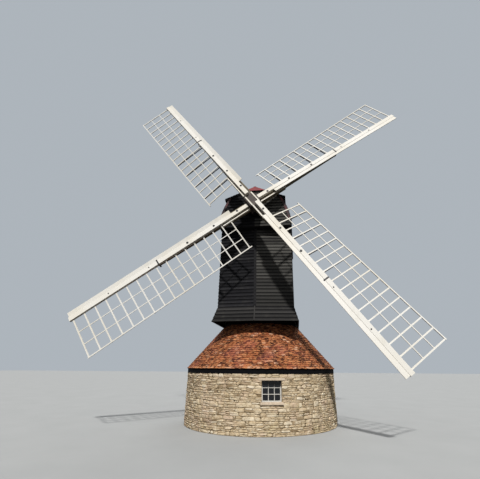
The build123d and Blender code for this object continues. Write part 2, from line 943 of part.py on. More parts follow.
def bar_end(number, plane_z, part_way=1.0):
    """Point along a bar, measured from the whip to the hemlath."""
    reach = bar_root + along_sail(number, heel_bar_length, tip_bar_length) * part_way
    turn = radians(weather(number))
    return Vector(bar_radius(number), reach * cos(turn), plane_z - reach * sin(turn))


def sail_bars(plane_z, mode=Mode.ADD):
    """The bars, each mortised through the whip at its own weather angle."""
    for number in range(bar_count):
        turn = weather(number)
        stub = board_lead(number) - bar_stub_gap
        reach = bar_root + along_sail(number, heel_bar_length, tip_bar_length)
        length = stub + reach + hemlath_width / 2
        middle = length / 2 - stub
        place = (
            bar_radius(number),
            middle * cos(radians(turn)),
            plane_z - middle * sin(radians(turn)),
        )
        with Locations(Location(place, (-turn, 0, 0))):
            Box(sail_bar_width, length, sail_bar_depth, mode=mode)


def lath_plane(start, finish):
    """Plane across the start of a long lath that lies flat in the surface of the sail."""
    middle = radians((heel_weather + tip_weather) / 2)
    across = Vector(0, cos(middle), -sin(middle))
    way = (finish - start).normalized()
    flat = (across - way * across.dot(way)).normalized()
    return Plane(origin=start, x_dir=flat, z_dir=way)


def sail_lattice(name, turns, plane_z):
    """Lattice of one common sail: bars, two uplongs and the hemlath."""
    last = bar_count - 1
    laths = (
        (1 / 3, uplong_width, uplong_depth, uplong_overrun, uplong_overrun),
        (2 / 3, uplong_width, uplong_depth, uplong_overrun, uplong_overrun),
        (1, hemlath_width, hemlath_depth, hemlath_heel_overrun, hemlath_tip_overrun),
    )
    with BuildPart() as lattice:
        sail_bars(plane_z)
        for part_way, width, depth, before, after in laths:
            start = bar_end(0, plane_z, part_way)
            finish = bar_end(last, plane_z, part_way)
            way = (finish - start).normalized()
            with BuildSketch(lath_plane(start - way * before, finish)):
                Rectangle(width, depth)
            extrude(amount=(finish - start).length + before + after)
    save(set_sail(lattice.part, turns), name)


def whip_blank(plane_z, spare=0.0):
    """A whip before its mortises are cut, lying along X, with spare all round where it cuts others."""
    with BuildPart() as blank:
        with BuildSketch(Plane.YZ.offset(whip_start)):
            with Locations((whip_offset, plane_z)):
                Rectangle(whip_width + 2 * spare, whip_depth + 2 * spare)
        with BuildSketch(Plane.YZ.offset(whip_tip)):
            with Locations((whip_offset, plane_z)):
                Rectangle(whip_tip_width + 2 * spare, whip_tip_depth + 2 * spare)
        loft()
    return blank.part


def whip_piece(turns, plane_z):
    """One whip, with a mortise for every bar."""
    with BuildPart() as whip:
        add(whip_blank(plane_z))
        sail_bars(plane_z, mode=Mode.SUBTRACT)
    return set_sail(whip.part, turns)


def leading_board_piece(turns, plane_z):
    """Leading board of one sail, twisted with the weather, tapering to the tip and fitted to the whip."""
    inner = whip_tip_width / 2 - whip_offset - board_lap
    lift = sail_bar_depth / 2 + board_gap + board_thickness / 2
    with BuildPart() as board:
        for at in (board_heel_start, tip_radius + board_tip_overrun):
            number = (at - heel_radius) * (bar_count - 1) / (tip_radius - heel_radius)
            turn = radians(weather(number))
            outer = board_lead(number)
            centre = (inner + outer) / 2
            height = plane_z + centre * sin(turn) + lift * cos(turn)
            place = Plane(
                origin=(at, lift * sin(turn) - centre * cos(turn), height),
                x_dir=(0, cos(turn), -sin(turn)),
                z_dir=(1, 0, 0),
            )
            with BuildSketch(place):
                Rectangle(outer - inner, board_thickness)
        loft()
        add(whip_blank(plane_z, board_gap), mode=Mode.SUBTRACT)
    return set_sail(board.part, turns)


def stock_taper(along, middle, end):
    """A size of a stock at a distance from the hub."""
    return middle + (end - middle) * along / stock_half_length


def stock_blank(plane_z, reach=stock_half_length, cheek=0):
    """A stock along X that tapers to both ends, or a shorter one with a cheek added to each side."""
    with BuildPart() as stock:
        for way in (1, -1):
            for along in (0, reach):
                width = stock_taper(along, stock_width, stock_end_width) + 2 * cheek
                depth = stock_taper(along, stock_depth, stock_end_depth)
                with BuildSketch(Plane.YZ.offset(way * along)):
                    with Locations((0, stock_face(plane_z, along) - depth / 2)):
                        Rectangle(width, depth)
            loft()
    return stock.part


def stock_clamps(turns, plane_z, reach):
    """The two clamps bolted to the sides of a stock, which run through the poll end with it."""
    with BuildPart() as clamps:
        add(stock_blank(plane_z, reach, clamp_width))
        add(stock_blank(plane_z), mode=Mode.SUBTRACT)
    return clamps.part.moved(sail_plane(turns).location)


def backstay_piece(turns, plane_z):
    """Stays from the side of the stock to the hemlath, behind the inner half of one sail."""
    face = plane_z - whip_depth / 2
    head_drop = sail_bar_depth / 2 + backstay_size / 2 + backstay_head_gap
    with BuildPart() as stays:
        for number in backstay_bars:
            foot = Vector(bar_radius(number), stock_end_width / 2, face - backstay_foot_drop)
            head = bar_end(number, plane_z) - Vector(0, 0, head_drop)
            way = (head - foot).normalized()
            with BuildSketch(Plane(origin=foot, x_dir=(1, 0, 0), z_dir=way)):
                Rectangle(backstay_size, backstay_size)
            extrude(amount=(head - foot).length)
    return set_sail(stays.part, turns) - stock_blank(plane_z).moved(sail_plane(turns).location)


def poll_end():
    """Iron poll end with the two crossing mortises that hold the stocks."""
    with BuildPart() as box:
        with BuildSketch(Plane.XY.offset(canister_back)):
            Rectangle(canister_size, canister_size)
        extrude(amount=front_stock_face - canister_back)
        with BuildSketch(Plane.XY.offset(front_stock_face)):
            Rectangle(mortise_width, canister_size)
        extrude(amount=-stock_depth, mode=Mode.SUBTRACT)
        with BuildSketch(Plane.XY.offset(rear_stock_face)):
            Rectangle(canister_size, mortise_width)
        extrude(amount=-stock_depth, mode=Mode.SUBTRACT)
    save(box.part.moved(sail_plane(0).location), "poll_end")


def windshaft():
    """Windshaft from the poll end back to the tail bearing, with its round neck and journal."""
    body_start = canister_back - neck_length
    with BuildPart() as shaft:
        with BuildSketch(hub_plane.offset(canister_back)):
            Circle(neck_radius)
        extrude(amount=-neck_length)
        with BuildSketch(hub_plane.offset(body_start)):
            RegularPolygon(shaft_size / 2 / cos(radians(22.5)), 8)
        extrude(amount=-shaft_body_end - body_start)
        with BuildSketch(hub_plane.offset(-shaft_body_end)):
            Circle(journal_radius)
        extrude(amount=-journal_lead - journal_tail)
    save(shaft.part, "windshaft")


def sails():
    """Both stocks with their clamps, and the whip, board, stays and lattice of each of the four sails."""
    save(stock_blank(front_whip_plane).moved(sail_plane(1).location), "stock_front")
    save(stock_blank(rear_whip_plane).moved(sail_plane(0).location), "stock_rear")
    front_clamps = stock_clamps(1, front_whip_plane, front_clamp_reach)
    rear_clamps = stock_clamps(0, rear_whip_plane, rear_clamp_reach)
    together("stock_clamps", [front_clamps, rear_clamps])
    sides = (
        ("upper_right", 0, rear_whip_plane),
        ("upper_left", 1, front_whip_plane),
        ("lower_left", 2, rear_whip_plane),
        ("lower_right", 3, front_whip_plane),
    )
    together("whips", [whip_piece(turns, plane_z) for name, turns, plane_z in sides])
    together("leading_boards", [leading_board_piece(turns, plane_z) for name, turns, plane_z in sides])
    together("backstays", [backstay_piece(turns, plane_z) for name, turns, plane_z in sides])
    for name, turns, plane_z in sides:
        sail_lattice("sail_" + name, turns, plane_z)


bay_names = (
    "wall_front",
    "wall_front_right",
    "wall_rear_right",
    "wall_rear",
    "wall_rear_left",
    "wall_front_left",
)
for place, bay_name in enumerate(bay_names):
    wall_bay(bay_name, place * bay_angle)
window()
doorway()
roundhouse_roof()
eaves_fascia()
crosstree("crosstree_lower", 45, lower_tree_bottom)
crosstree("crosstree_upper", 135, upper_tree_bottom)
piers()
quarter_bars()
great_post()
breast()
side_wall("side_wall_right", 1)
side_wall("side_wall_left", -1)
end_walls()
petticoat()
buck_frame()
bearings()
buck_roof()
stage()
ladder()
tailpole()
sails()
poll_end()
windshaft()
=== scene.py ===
import json
import math
import random

import bpy
import numpy as np
from mathutils import Matrix, Vector


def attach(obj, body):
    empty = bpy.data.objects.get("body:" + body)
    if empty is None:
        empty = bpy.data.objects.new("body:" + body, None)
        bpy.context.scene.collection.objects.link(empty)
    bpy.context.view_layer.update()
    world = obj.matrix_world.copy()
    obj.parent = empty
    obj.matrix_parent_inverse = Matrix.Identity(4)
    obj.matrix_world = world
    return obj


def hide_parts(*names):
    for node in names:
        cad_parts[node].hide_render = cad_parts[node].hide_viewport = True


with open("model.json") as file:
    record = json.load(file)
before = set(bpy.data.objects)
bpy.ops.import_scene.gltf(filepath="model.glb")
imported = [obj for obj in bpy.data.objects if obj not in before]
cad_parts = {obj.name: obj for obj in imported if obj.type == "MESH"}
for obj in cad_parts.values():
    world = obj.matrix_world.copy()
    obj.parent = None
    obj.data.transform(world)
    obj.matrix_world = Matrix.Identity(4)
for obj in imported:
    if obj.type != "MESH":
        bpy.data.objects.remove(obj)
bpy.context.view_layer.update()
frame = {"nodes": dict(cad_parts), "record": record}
random.seed(8231)

# Metres, +Z up. Places are given round the post's axis, and POST_Y then moves them to the frame.
POST_Y = -2.3059
ACROSS = Vector((1, 0, 0))
BACK = Vector((0, 1, 0))
UP = Vector((0, 0, 1))

# Roundhouse wall, and how far the beds of its courses wave up and down.
WALL_R = 3.213
WALL_TOP = 1.952
WAVE = 0.028

# Cone of tiles, from the foot of its slope to the top. The tiles end below the tarred collar.
TILE_FOOT_R = 3.281
TILE_FOOT_Z = 2.130
TILE_TOP_R = 1.262
TILE_TOP_Z = 4.410
TILE_END_Z = 3.890
TILE_GAUGE = 0.100
TILE_WIDTH = 0.155
TILE_LENGTH = 0.155
TILE_THICK = 0.012
CONE_RUN = TILE_FOOT_R - TILE_TOP_R
CONE_RISE = TILE_TOP_Z - TILE_FOOT_Z
CONE_SLOPE = math.hypot(CONE_RUN, CONE_RISE)

# A step straight out of the cone's slope, as its parts in radius and in height.
CONE_OUT_R = CONE_RISE / CONE_SLOPE
CONE_OUT_Z = CONE_RUN / CONE_SLOPE

# Deck under the tiles: depths of its two faces below them, and its closed edge at the eaves.
DECK_TOP = 0.030
DECK_UNDER = 0.100
DECK_EDGE_R = 3.173
DECK_EDGE_LOW = 2.060
DECK_EDGE_HIGH = 2.092

# Roundhouse window, its sill and lintel, and the door at the back.
WINDOW_TURN = math.radians(13.35)
WINDOW_WIDE = 0.720
WINDOW_LOW = 1.030
WINDOW_HIGH = 1.726
SILL_DEEP = 0.075
SILL_PAST = 0.055
LINTEL_DEEP = 0.085
LINTEL_PAST = 0.120
DOOR_WIDE = 0.900
DOOR_FRAME = 0.080
DOOR_HIGH = 1.780

# Body of the mill.
HALF = 1.612
FRONT = -2.131
NOSE = -2.281
TAIL = 2.750
WALL_LOW = 4.528
JETTY_LOW = 8.070
GABLE = -2.600
EAVES = 8.310
SKIRT_LOW = 3.895
RIDGE = 10.135
HOOD_EAVE = (1.430, 9.540)
HOOD_THICK = 0.085
ROOF_ARC = ((1.672, 8.310), (1.470, 9.060), (1.240, 9.535))
ROOF_THICK = 0.100
LOWER_ROOF = (-2.626, 2.886)
UPPER_ROOF = (-2.660, 2.920)
EXPOSURE = 0.146
TRIM_HALF = 0.054
SHAFT_HOLE_R = 0.285

# How far the petticoat's foot stands out at the sides, the front and tail corners, and the nose.
FLARE_SIDE = 0.178
FLARE_END = 0.229
FLARE_NOSE = 0.219

# Tail door and the stage outside it.
TAIL_DOOR_X = 0.420
TAIL_DOOR_WIDE = 0.720
TAIL_DOOR_LOW = 4.880
TAIL_DOOR_TALL = 1.750
STAGE_WIDE = 1.800
STAGE_DEEP = 0.670
STAGE_TOP = 4.883

# Sails: the hub, the tilt of the windshaft and how far each sail leans back.
HUB = Vector((0, -3.135, 8.893))
TILT = math.radians(8.1)
SAIL_TURN = math.radians(35.88)
LEAN = math.radians(1.2)

# How far the whips stand in front of the hub, on the front stock and on the rear one.
FRONT_PLANE = 0.530
REAR_PLANE = 0.244
SAIL_PLANES = ((0, REAR_PLANE), (1, FRONT_PLANE), (2, REAR_PLANE), (3, FRONT_PLANE))

# Whips and stocks taper from the first size to the second.
WHIP_HEEL = 0.300
WHIP_LONG = 8.420
WHIP_HALF = (0.080, 0.055)
WHIP_MIDDLE = 0.050
WHIP_EDGE = 0.094
STOCK_REACH = 4.850
STOCK_HALF = (0.140, 0.080)
STOCK_DEEP = (0.250, 0.150)

# Bolts by distance from the hub and radius of head, their line, and the strap's distance.
BOLTS = ((0.83, 0.050), (2.04, 0.048), (3.36, 0.052), (5.20, 0.026), (7.02, 0.026))
BOLT_LINE = 0.022
STRAP_R = 4.800

# Where the camera stands.
CAMERA_AT = Vector((1.660, -15.318, 2.147))


# Shape helpers


def lerp(a, b, part):
    """The value a part of the way from a to b."""
    return a + (b - a) * part


def ring(azimuth, radius, height):
    """A point round the post, at an azimuth measured from the front towards +X."""
    return Vector((radius * math.sin(azimuth), -radius * math.cos(azimuth), height))


class Pieces:
    """Collects many closed solids into one mesh, each face with a tint and each corner with a fade of
    painted shade.
    """

    def __init__(self):
        self.verts = []
        self.faces = []
        self.tint = []
        self.shade_fade = []

    def solid(self, verts, faces, tint=0.5, shade_fade=None):
        """A closed solid from its vertices and faces."""
        base = len(self.verts)
        self.verts.extend(tuple(v) for v in verts)
        self.shade_fade.extend(shade_fade or [1.0] * len(verts))
        for face in faces:
            self.faces.append(tuple(base + i for i in face))
            self.tint.append(tint)

    def stack(self, rings, tint=0.5, shade_fade=None):
        """A solid through rings of equal counts, closed by the first and the last."""
        count = len(rings[0])
        verts = [v for one in rings for v in one]
        faces = []
        for k in range(len(rings) - 1):
            for i in range(count):
                j = (i + 1) % count
                faces.append((k * count + i, k * count + j, (k + 1) * count + j, (k + 1) * count + i))
        faces.append(tuple(reversed(range(count))))
        last = (len(rings) - 1) * count
        faces.append(tuple(range(last, last + count)))
        self.solid(verts, faces, tint, shade_fade)

    def box(self, centre, ux, uy, uz, tint=0.5, chamfer=0.004):
        """A box from its centre and three half-size vectors, with the edges along ux taken off."""
        a = 1 - min(0.45, chamfer / max(uy.length, 1e-6))
        b = 1 - min(0.45, chamfer / max(uz.length, 1e-6))
        outline = [(-a, -1), (a, -1), (1, -b), (1, b), (a, 1), (-a, 1), (-1, b), (-1, -b)]
        ends = [[centre + ux * w + uy * p + uz * q for p, q in outline] for w in (-1, 1)]
        self.stack(ends, tint)

    def wedge(self, low, high, out, foot, head, tint):
        """A weatherboard between a low and a high line, thicker at its foot, with painted shade darkening
        its head.
        """
        sink = out * 0.004
        ends = [[a - sink, a + out * foot, b + out * head, b - sink] for a, b in zip(low, high)]
        # Fade of painted shade at each corner: lit at the foot, shaded at the head.
        self.stack(ends, tint, [0.2, 1.0, 0.0, 0.0] * 2)

    def disc(self, centre, axis, radius, depth, sides):
        """A round head with a domed edge that stands on its centre and points along its axis."""
        n = Vector(axis).normalized()
        x = n.orthogonal().normalized()
        y = n.cross(x)
        rings = []
        for r, h in ((radius, -0.002), (radius, depth * 0.6), (radius * 0.62, depth)):
            turns = [2 * math.pi * i / sides for i in range(sides)]
            rings.append([centre + n * h + x * (r * math.cos(t)) + y * (r * math.sin(t)) for t in turns])
        self.stack(rings)

    def make(self, name, body, material, smooth=None):
        """One object from all the solids, riding a body, and smooth below an angle if one is given."""
        mesh = bpy.data.meshes.new(name)
        mesh.from_pydata([(v[0], v[1] + POST_Y, v[2]) for v in self.verts], [], self.faces)
        for label, domain, values in (("tint", "FACE", self.tint), ("shade_fade", "POINT", self.shade_fade)):
            layer = mesh.attributes.new(label, "FLOAT", domain)
            layer.data.foreach_set("value", np.array(values, np.float32))
        mesh.materials.append(material)
        mesh.update()
        made = bpy.data.objects.new(name, mesh)
        bpy.context.scene.collection.objects.link(made)
        if smooth is not None:
            mesh.shade_smooth()
            mesh.set_sharp_from_angle(angle=math.radians(smooth))
        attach(made, body)
        return made


# Material helpers


def add_node(tree, kind, **values):
    """A new shader node with some of its inputs set. Their names are given with _ for a space."""
    node = tree.nodes.new("ShaderNode" + kind)
    for name, value in values.items():
        node.inputs[name.replace("_", " ")].default_value = value
    return node


class Shade:
    """A node material built up from noise, ramps and mixes."""

    def __init__(self, name, roughness, specular):
        self.material = bpy.data.materials.new(name)
        self.material.use_nodes = True
        self.tree = self.material.node_tree
        self.tree.nodes.clear()
        out = add_node(self.tree, "OutputMaterial")
        self.shader = add_node(self.tree, "BsdfPrincipled", Roughness=roughness)
        self.shader.inputs["Specular IOR Level"].default_value = specular
        self.coords = add_node(self.tree, "TexCoord")
        self.link(self.shader.outputs[0], out.inputs[0])

    def link(self, source, target):
        self.tree.links.new(source, target)

    def place(self, scale, turn=(0, 0, 0)):
        node = add_node(self.tree, "Mapping", Scale=scale, Rotation=turn)
        self.link(self.coords.outputs["Object"], node.inputs["Vector"])
        return node.outputs[0]

    def noise(self, scale, detail=4.0, rough=0.55, where=None, distortion=0.0):
        node = add_node(self.tree, "TexNoise", Scale=scale, Detail=detail, Roughness=rough)
        node.inputs["Distortion"].default_value = distortion
        self.link(where or self.coords.outputs["Object"], node.inputs["Vector"])
        return node.outputs["Fac"]

    def ramp(self, source, stops):
        node = add_node(self.tree, "ValToRGB")
        elements = node.color_ramp.elements
        while len(elements) < len(stops):
            elements.new(0.5)
        for element, (at, colour) in zip(elements, stops):
            element.position = at
            element.color = (*colour, 1)
        self.link(source, node.inputs["Fac"])
        return node.outputs["Color"]

    def grey(self, source, low, high, out_low=0.0, out_high=1.0):
        """Stretches the part of a value between low and high to the range from out_low to out_high."""
        node = add_node(self.tree, "MapRange", From_Min=low, From_Max=high)
        node.inputs["To Min"].default_value = out_low
        node.inputs["To Max"].default_value = out_high
        self.link(source, node.inputs["Value"])
        return node.outputs[0]

    def mix(self, amount, a, b):
        """Colour a with an amount of colour b over it. Each colour may be a socket or plain numbers."""
        node = add_node(self.tree, "Mix")
        node.data_type = "RGBA"
        sockets = [s for s in node.inputs if s.enabled]
        for value, socket in zip((amount, a, b), sockets):
            if isinstance(value, bpy.types.NodeSocket):
                self.link(value, socket)
            else:
                socket.default_value = (*value, 1)
        return [s for s in node.outputs if s.enabled][0]

    def patches(self, base, source, low, high, amount, colour):
        """An amount of a colour over the base, growing as the source rises from low to high."""
        return self.mix(self.grey(source, low, high, 0.0, amount), base, colour)

    def attribute(self, name):
        node = add_node(self.tree, "Attribute")
        node.attribute_type = "GEOMETRY"
        node.attribute_name = name
        return node.outputs["Fac"]

    def height(self):
        node = add_node(self.tree, "SeparateXYZ")
        self.link(self.coords.outputs["Object"], node.inputs[0])
        return node.outputs["Z"]

    def colour(self, socket):
        self.link(socket, self.shader.inputs["Base Color"])

    def roughness(self, socket):
        self.link(socket, self.shader.inputs["Roughness"])

    def bump(self, height, strength, distance):
        node = add_node(self.tree, "Bump", Strength=strength, Distance=distance)
        self.link(height, node.inputs["Height"])
        self.link(node.outputs[0], self.shader.inputs["Normal"])


# Materials


def stone_material():
    """Rubble stones, each of its own tone, with earthy, pale, green and pink patches and dark pits."""
    s = Shade("limestone_rubble", 0.92, 0.2)
    tones = [
        (0.0, (0.25, 0.178, 0.100)),
        (0.25, (0.58, 0.450, 0.290)),
        (0.55, (0.68, 0.540, 0.350)),
        (0.8, (0.78, 0.65, 0.45)),
        (1.0, (0.86, 0.76, 0.59)),
    ]
    base = s.ramp(s.attribute("tint"), tones)
    pale = s.noise(1.0, 4, 0.65, s.place((5.0, 5.0, 14.0)))
    pits = s.noise(1.0, 4, 0.65, s.place((9.0, 9.0, 17.0)))
    base = s.patches(base, s.noise(9.0, 5, 0.6), 0.42, 0.72, 0.6, (0.33, 0.235, 0.13))
    base = s.patches(base, pale, 0.50, 0.62, 0.7, (0.78, 0.68, 0.51))
    base = s.patches(base, s.noise(1.4, 3, 0.5), 0.56, 0.70, 0.30, (0.50, 0.43, 0.20))
    base = s.patches(base, s.noise(2.3, 3, 0.5), 0.50, 0.64, 0.35, (0.72, 0.53, 0.42))
    base = s.patches(base, pits, 0.55, 0.66, 0.75, (0.22, 0.150, 0.084))
    s.colour(base)
    s.bump(s.noise(16.0, 8, 0.68), 1.0, 0.022)
    return s.material


def mortar_material():
    """Lime mortar between the stones, in shades from dark to pale."""
    s = Shade("lime_mortar", 0.95, 0.15)
    stops = [(0.34, (0.060, 0.040, 0.020)), (0.46, (0.28, 0.21, 0.125)), (0.66, (0.58, 0.48, 0.34))]
    s.colour(s.ramp(s.noise(5.0, 5, 0.65), stops))
    s.bump(s.noise(60.0, 4, 0.6), 0.5, 0.004)
    return s.material


def tile_material():
    """Hand-made clay tiles, each of its own tone, with dark and warm streaks and broad red patches."""
    s = Shade("clay_tiles", 0.88, 0.2)
    tones = [
        (0.0, (0.050, 0.017, 0.009)),
        (0.2, (0.15, 0.044, 0.018)),
        (0.42, (0.30, 0.088, 0.034)),
        (0.62, (0.42, 0.140, 0.056)),
        (0.84, (0.50, 0.205, 0.090)),
        (1.0, (0.58, 0.33, 0.21)),
    ]
    base = s.ramp(s.attribute("tint"), tones)
    dark = s.noise(1.0, 3, 0.6, s.place((7.0, 7.0, 26.0)))
    warm = s.noise(1.0, 3, 0.6, s.place((9.0, 9.0, 32.0)))
    base = s.patches(base, dark, 0.47, 0.56, 0.92, (0.052, 0.015, 0.009))
    base = s.patches(base, warm, 0.52, 0.61, 0.75, (0.58, 0.25, 0.10))
    base = s.patches(base, s.noise(1.3, 3, 0.5), 0.52, 0.70, 0.35, (0.32, 0.090, 0.085))
    s.colour(base)
    s.bump(s.noise(90.0, 4, 0.6), 0.35, 0.003)
    return s.material


def deck_material():
    """The dark deck that shows in the joints of the tiles."""
    s = Shade("roof_deck", 0.95, 0.1)
    s.colour(s.ramp(s.noise(20.0), [(0.3, (0.030, 0.016, 0.010)), (0.8, (0.070, 0.034, 0.020))]))
    s.bump(s.noise(40.0), 0.3, 0.003)
    return s.material


def black_material(name, low, high, rough, shine, more_tar=0.0):
    """Tarred boards with a long grain, each with painted shade darkening its head under the next board's
    foot. More tar makes the low ones darker.
    """
    s = Shade(name, rough, shine)
    grain = s.noise(1.0, 6, 0.65, s.place((2.5, 2.5, 55.0)))
    base = s.ramp(grain, [(0.25, low), (0.75, high)])
    base = s.patches(base, s.attribute("tint"), 0.0, 1.0, 0.6, tuple(c * 1.9 for c in high))
    base = s.patches(base, s.noise(4.0, 6, 0.6), 0.52, 0.8, 0.3, (0.105, 0.100, 0.088))
    # Painted shade: each board goes darker towards its head, where the next board's foot overhangs it.
    base = s.mix(s.grey(s.attribute("shade_fade"), 0.15, 0.75, 0.9, 0.0), base, (0.006, 0.006, 0.007))
    base = s.mix(s.grey(s.height(), 4.9, 7.5, more_tar, 0.0), base, (0.012, 0.012, 0.012))
    s.colour(base)
    s.roughness(s.grey(s.noise(8.0), 0.3, 0.7, rough - 0.08, rough + 0.1))
    s.bump(grain, 0.35, 0.003)
    return s.material


def paint_material(name, colour, dirt, amount, rough, shine=0.35):
    """Oil paint over timber: faint grain, dirt in patches and thin runs."""
    s = Shade(name, rough, shine)
    base = s.mix(s.grey(s.noise(3.2, 6, 0.62), 0.5, 0.82, 0.0, amount), colour, dirt)
    worn = tuple(c * 0.75 for c in dirt)
    base = s.patches(base, s.noise(22.0, 5, 0.65), 0.56, 0.8, amount * 0.6, worn)
    s.colour(base)
    s.roughness(s.grey(s.noise(12.0), 0.3, 0.7, rough - 0.08, rough + 0.15))
    s.bump(s.noise(18.0, 5, 0.6), 0.15, 0.002)
    return s.material


def white_material():
    """Clean white oil paint on the sails, creamier in broad patches, with faint long runs."""
    s = Shade("white_paint", 0.55, 0.3)
    broad = s.grey(s.noise(0.45, 2, 0.5), 0.42, 0.62)
    base = s.mix(broad, (0.78, 0.76, 0.71), (0.74, 0.70, 0.61))
    s.colour(s.patches(base, s.noise(2.2, 3, 0.5), 0.55, 0.75, 0.35, (0.60, 0.56, 0.47)))
    s.bump(s.noise(5.0, 3, 0.5), 0.08, 0.002)
    return s.material


def lintel_shadow_material():
    """Window paint, white below with patches of dirt, and a painted shadow of the lintel over the top row
    of panes.
    """
    s = Shade("window_paint_lintel_shadow", 0.5, 0.35)
    dirt = s.grey(s.noise(8.0, 4, 0.6), 0.45, 0.70, 0.0, 0.5)
    clean = s.mix(dirt, (0.60, 0.585, 0.545), (0.36, 0.335, 0.29))
    # Painted shadow: above about 1.5 m the paint turns dark, as in the lintel's shadow.
    s.colour(s.mix(s.grey(s.height(), 1.475, 1.545), clean, (0.045, 0.040, 0.036)))
    return s.material


def red_worn_and_shaded_material():
    """Red paint on the gable's edge boards, almost black lower down, partly from worn paint and partly
    from painted shade.
    """
    s = Shade("red_paint_worn_and_shaded", 0.6, 0.3)
    dirt = s.grey(s.noise(5.0, 5, 0.6), 0.45, 0.75, 0.0, 0.5)
    bare = s.grey(s.noise(3.0, 4, 0.6), 0.36, 0.52, 0.0, 0.95)
    second = s.mix(dirt, (0.27, 0.046, 0.052), (0.13, 0.030, 0.030))
    worn = s.mix(bare, (0.11, 0.022, 0.026), (0.016, 0.008, 0.010))
    # Below about 9.6 m the boards take the dark colour: worn paint together with painted shade.
    s.colour(s.mix(s.grey(s.height(), 9.55, 9.75), worn, second))
    s.bump(s.noise(18.0, 5, 0.6), 0.2, 0.002)
    return s.material


def timber_material(name, low, high, scale=(4.0, 4.0, 60.0), rough=0.8):
    """Timber with a grain stretched by its scale, or stone where the scale is even."""
    s = Shade(name, rough, 0.25)
    grain = s.noise(1.0, 6, 0.65, s.place(scale), 0.6)
    pale = tuple(min(1, c * 1.35) for c in high)
    dark = tuple(c * 0.6 for c in low)
    base = s.ramp(grain, [(0.25, low), (0.6, high), (0.9, pale)])
    base = s.patches(base, s.noise(2.4, 4, 0.6), 0.5, 0.8, 0.45, dark)
    s.colour(base)
    s.bump(grain, 0.4, 0.003)
    return s.material


def iron_material():
    """Dark iron with a little rust."""
    s = Shade("iron", 0.55, 0.5)
    s.shader.inputs["Metallic"].default_value = 0.35
    base = s.ramp(s.noise(30.0, 4, 0.6), [(0.3, (0.016, 0.016, 0.017)), (0.8, (0.050, 0.048, 0.047))])
    base = s.patches(base, s.noise(14.0, 5, 0.65), 0.58, 0.8, 0.5, (0.16, 0.065, 0.03))
    s.colour(base)
    s.bump(s.noise(60.0), 0.25, 0.002)
    return s.material


def glass_material():
    """Dark window panes, slightly uneven."""
    s = Shade("window_pane", 0.08, 0.3)
    s.colour(s.ramp(s.noise(3.0), [(0.3, (0.006, 0.007, 0.009)), (0.8, (0.016, 0.019, 0.022))]))
    s.roughness(s.grey(s.noise(20.0), 0.3, 0.7, 0.05, 0.16))
    s.bump(s.noise(4.0, 2, 0.5), 0.05, 0.004)
    return s.material


def brick_material():
    """Brickwork of the piers that carry the crosstrees."""
    s = Shade("pier_bricks", 0.9, 0.2)
    node = add_node(s.tree, "TexBrick", Scale=4.4, Mortar=(0.42, 0.36, 0.27, 1))
    node.inputs["Color1"].default_value = (0.34, 0.13, 0.075, 1)
    node.inputs["Color2"].default_value = (0.24, 0.085, 0.05, 1)
    s.link(s.place((1.0, 1.0, 1.0), (math.radians(90), 0, 0)), node.inputs["Vector"])
    s.colour(node.outputs["Color"])
    s.bump(s.noise(40.0), 0.4, 0.003)
    return s.material


stone = stone_material()
mortar = mortar_material()
tile = tile_material()
deck = deck_material()
black = black_material("black_boards", (0.011, 0.011, 0.011), (0.092, 0.089, 0.081), 0.88, 0.1, 0.62)
# A darker copy of the black boards: painted shade on the left halves of the breast and the front gable.
shaded_left_black = black_material("shaded_left_boards", (0.003, 0.003, 0.004), (0.019, 0.019, 0.021), 0.9, 0.08)
skirt_black = black_material("skirt_black_boards", (0.008, 0.008, 0.008), (0.034, 0.033, 0.032), 0.9, 0.08)
roof_black = black_material("roof_boards", (0.012, 0.012, 0.014), (0.024, 0.024, 0.028), 0.85, 0.12)
tarred = paint_material("tar", (0.004, 0.004, 0.005), (0.010, 0.009, 0.008), 0.4, 0.85, 0.08)
trim_black = paint_material("trim_black", (0.020, 0.020, 0.021), (0.006, 0.006, 0.007), 0.9, 0.85, 0.1)
hub_iron = paint_material("poll_end_iron", (0.050, 0.039, 0.035), (0.010, 0.008, 0.008), 1.0, 0.7, 0.2)
white = white_material()
cream = paint_material("joinery_paint", (0.74, 0.72, 0.67), (0.45, 0.42, 0.36), 0.35, 0.5)
# Window paint with a painted shadow at its top, for the frame and the bars.
shaded_cream = lintel_shadow_material()
red = paint_material("red_paint", (0.34, 0.060, 0.060), (0.16, 0.040, 0.035), 0.6, 0.5)
red_worn_and_shaded = red_worn_and_shaded_material()
stock_wood = timber_material("stock_timber", (0.055, 0.046, 0.043), (0.130, 0.112, 0.102))
brown_wood = timber_material("stock_timber_brown", (0.090, 0.074, 0.046), (0.170, 0.142, 0.092))
oak = timber_material("oak", (0.13, 0.095, 0.060), (0.26, 0.195, 0.125))
grey_oak = timber_material("weathered_oak", (0.16, 0.14, 0.115), (0.32, 0.285, 0.235))
iron = iron_material()
pane = glass_material()
sill_stone = timber_material("sill_stone", (0.50, 0.40, 0.29), (0.66, 0.54, 0.41), (14, 14, 14), 0.9)
brick = brick_material()

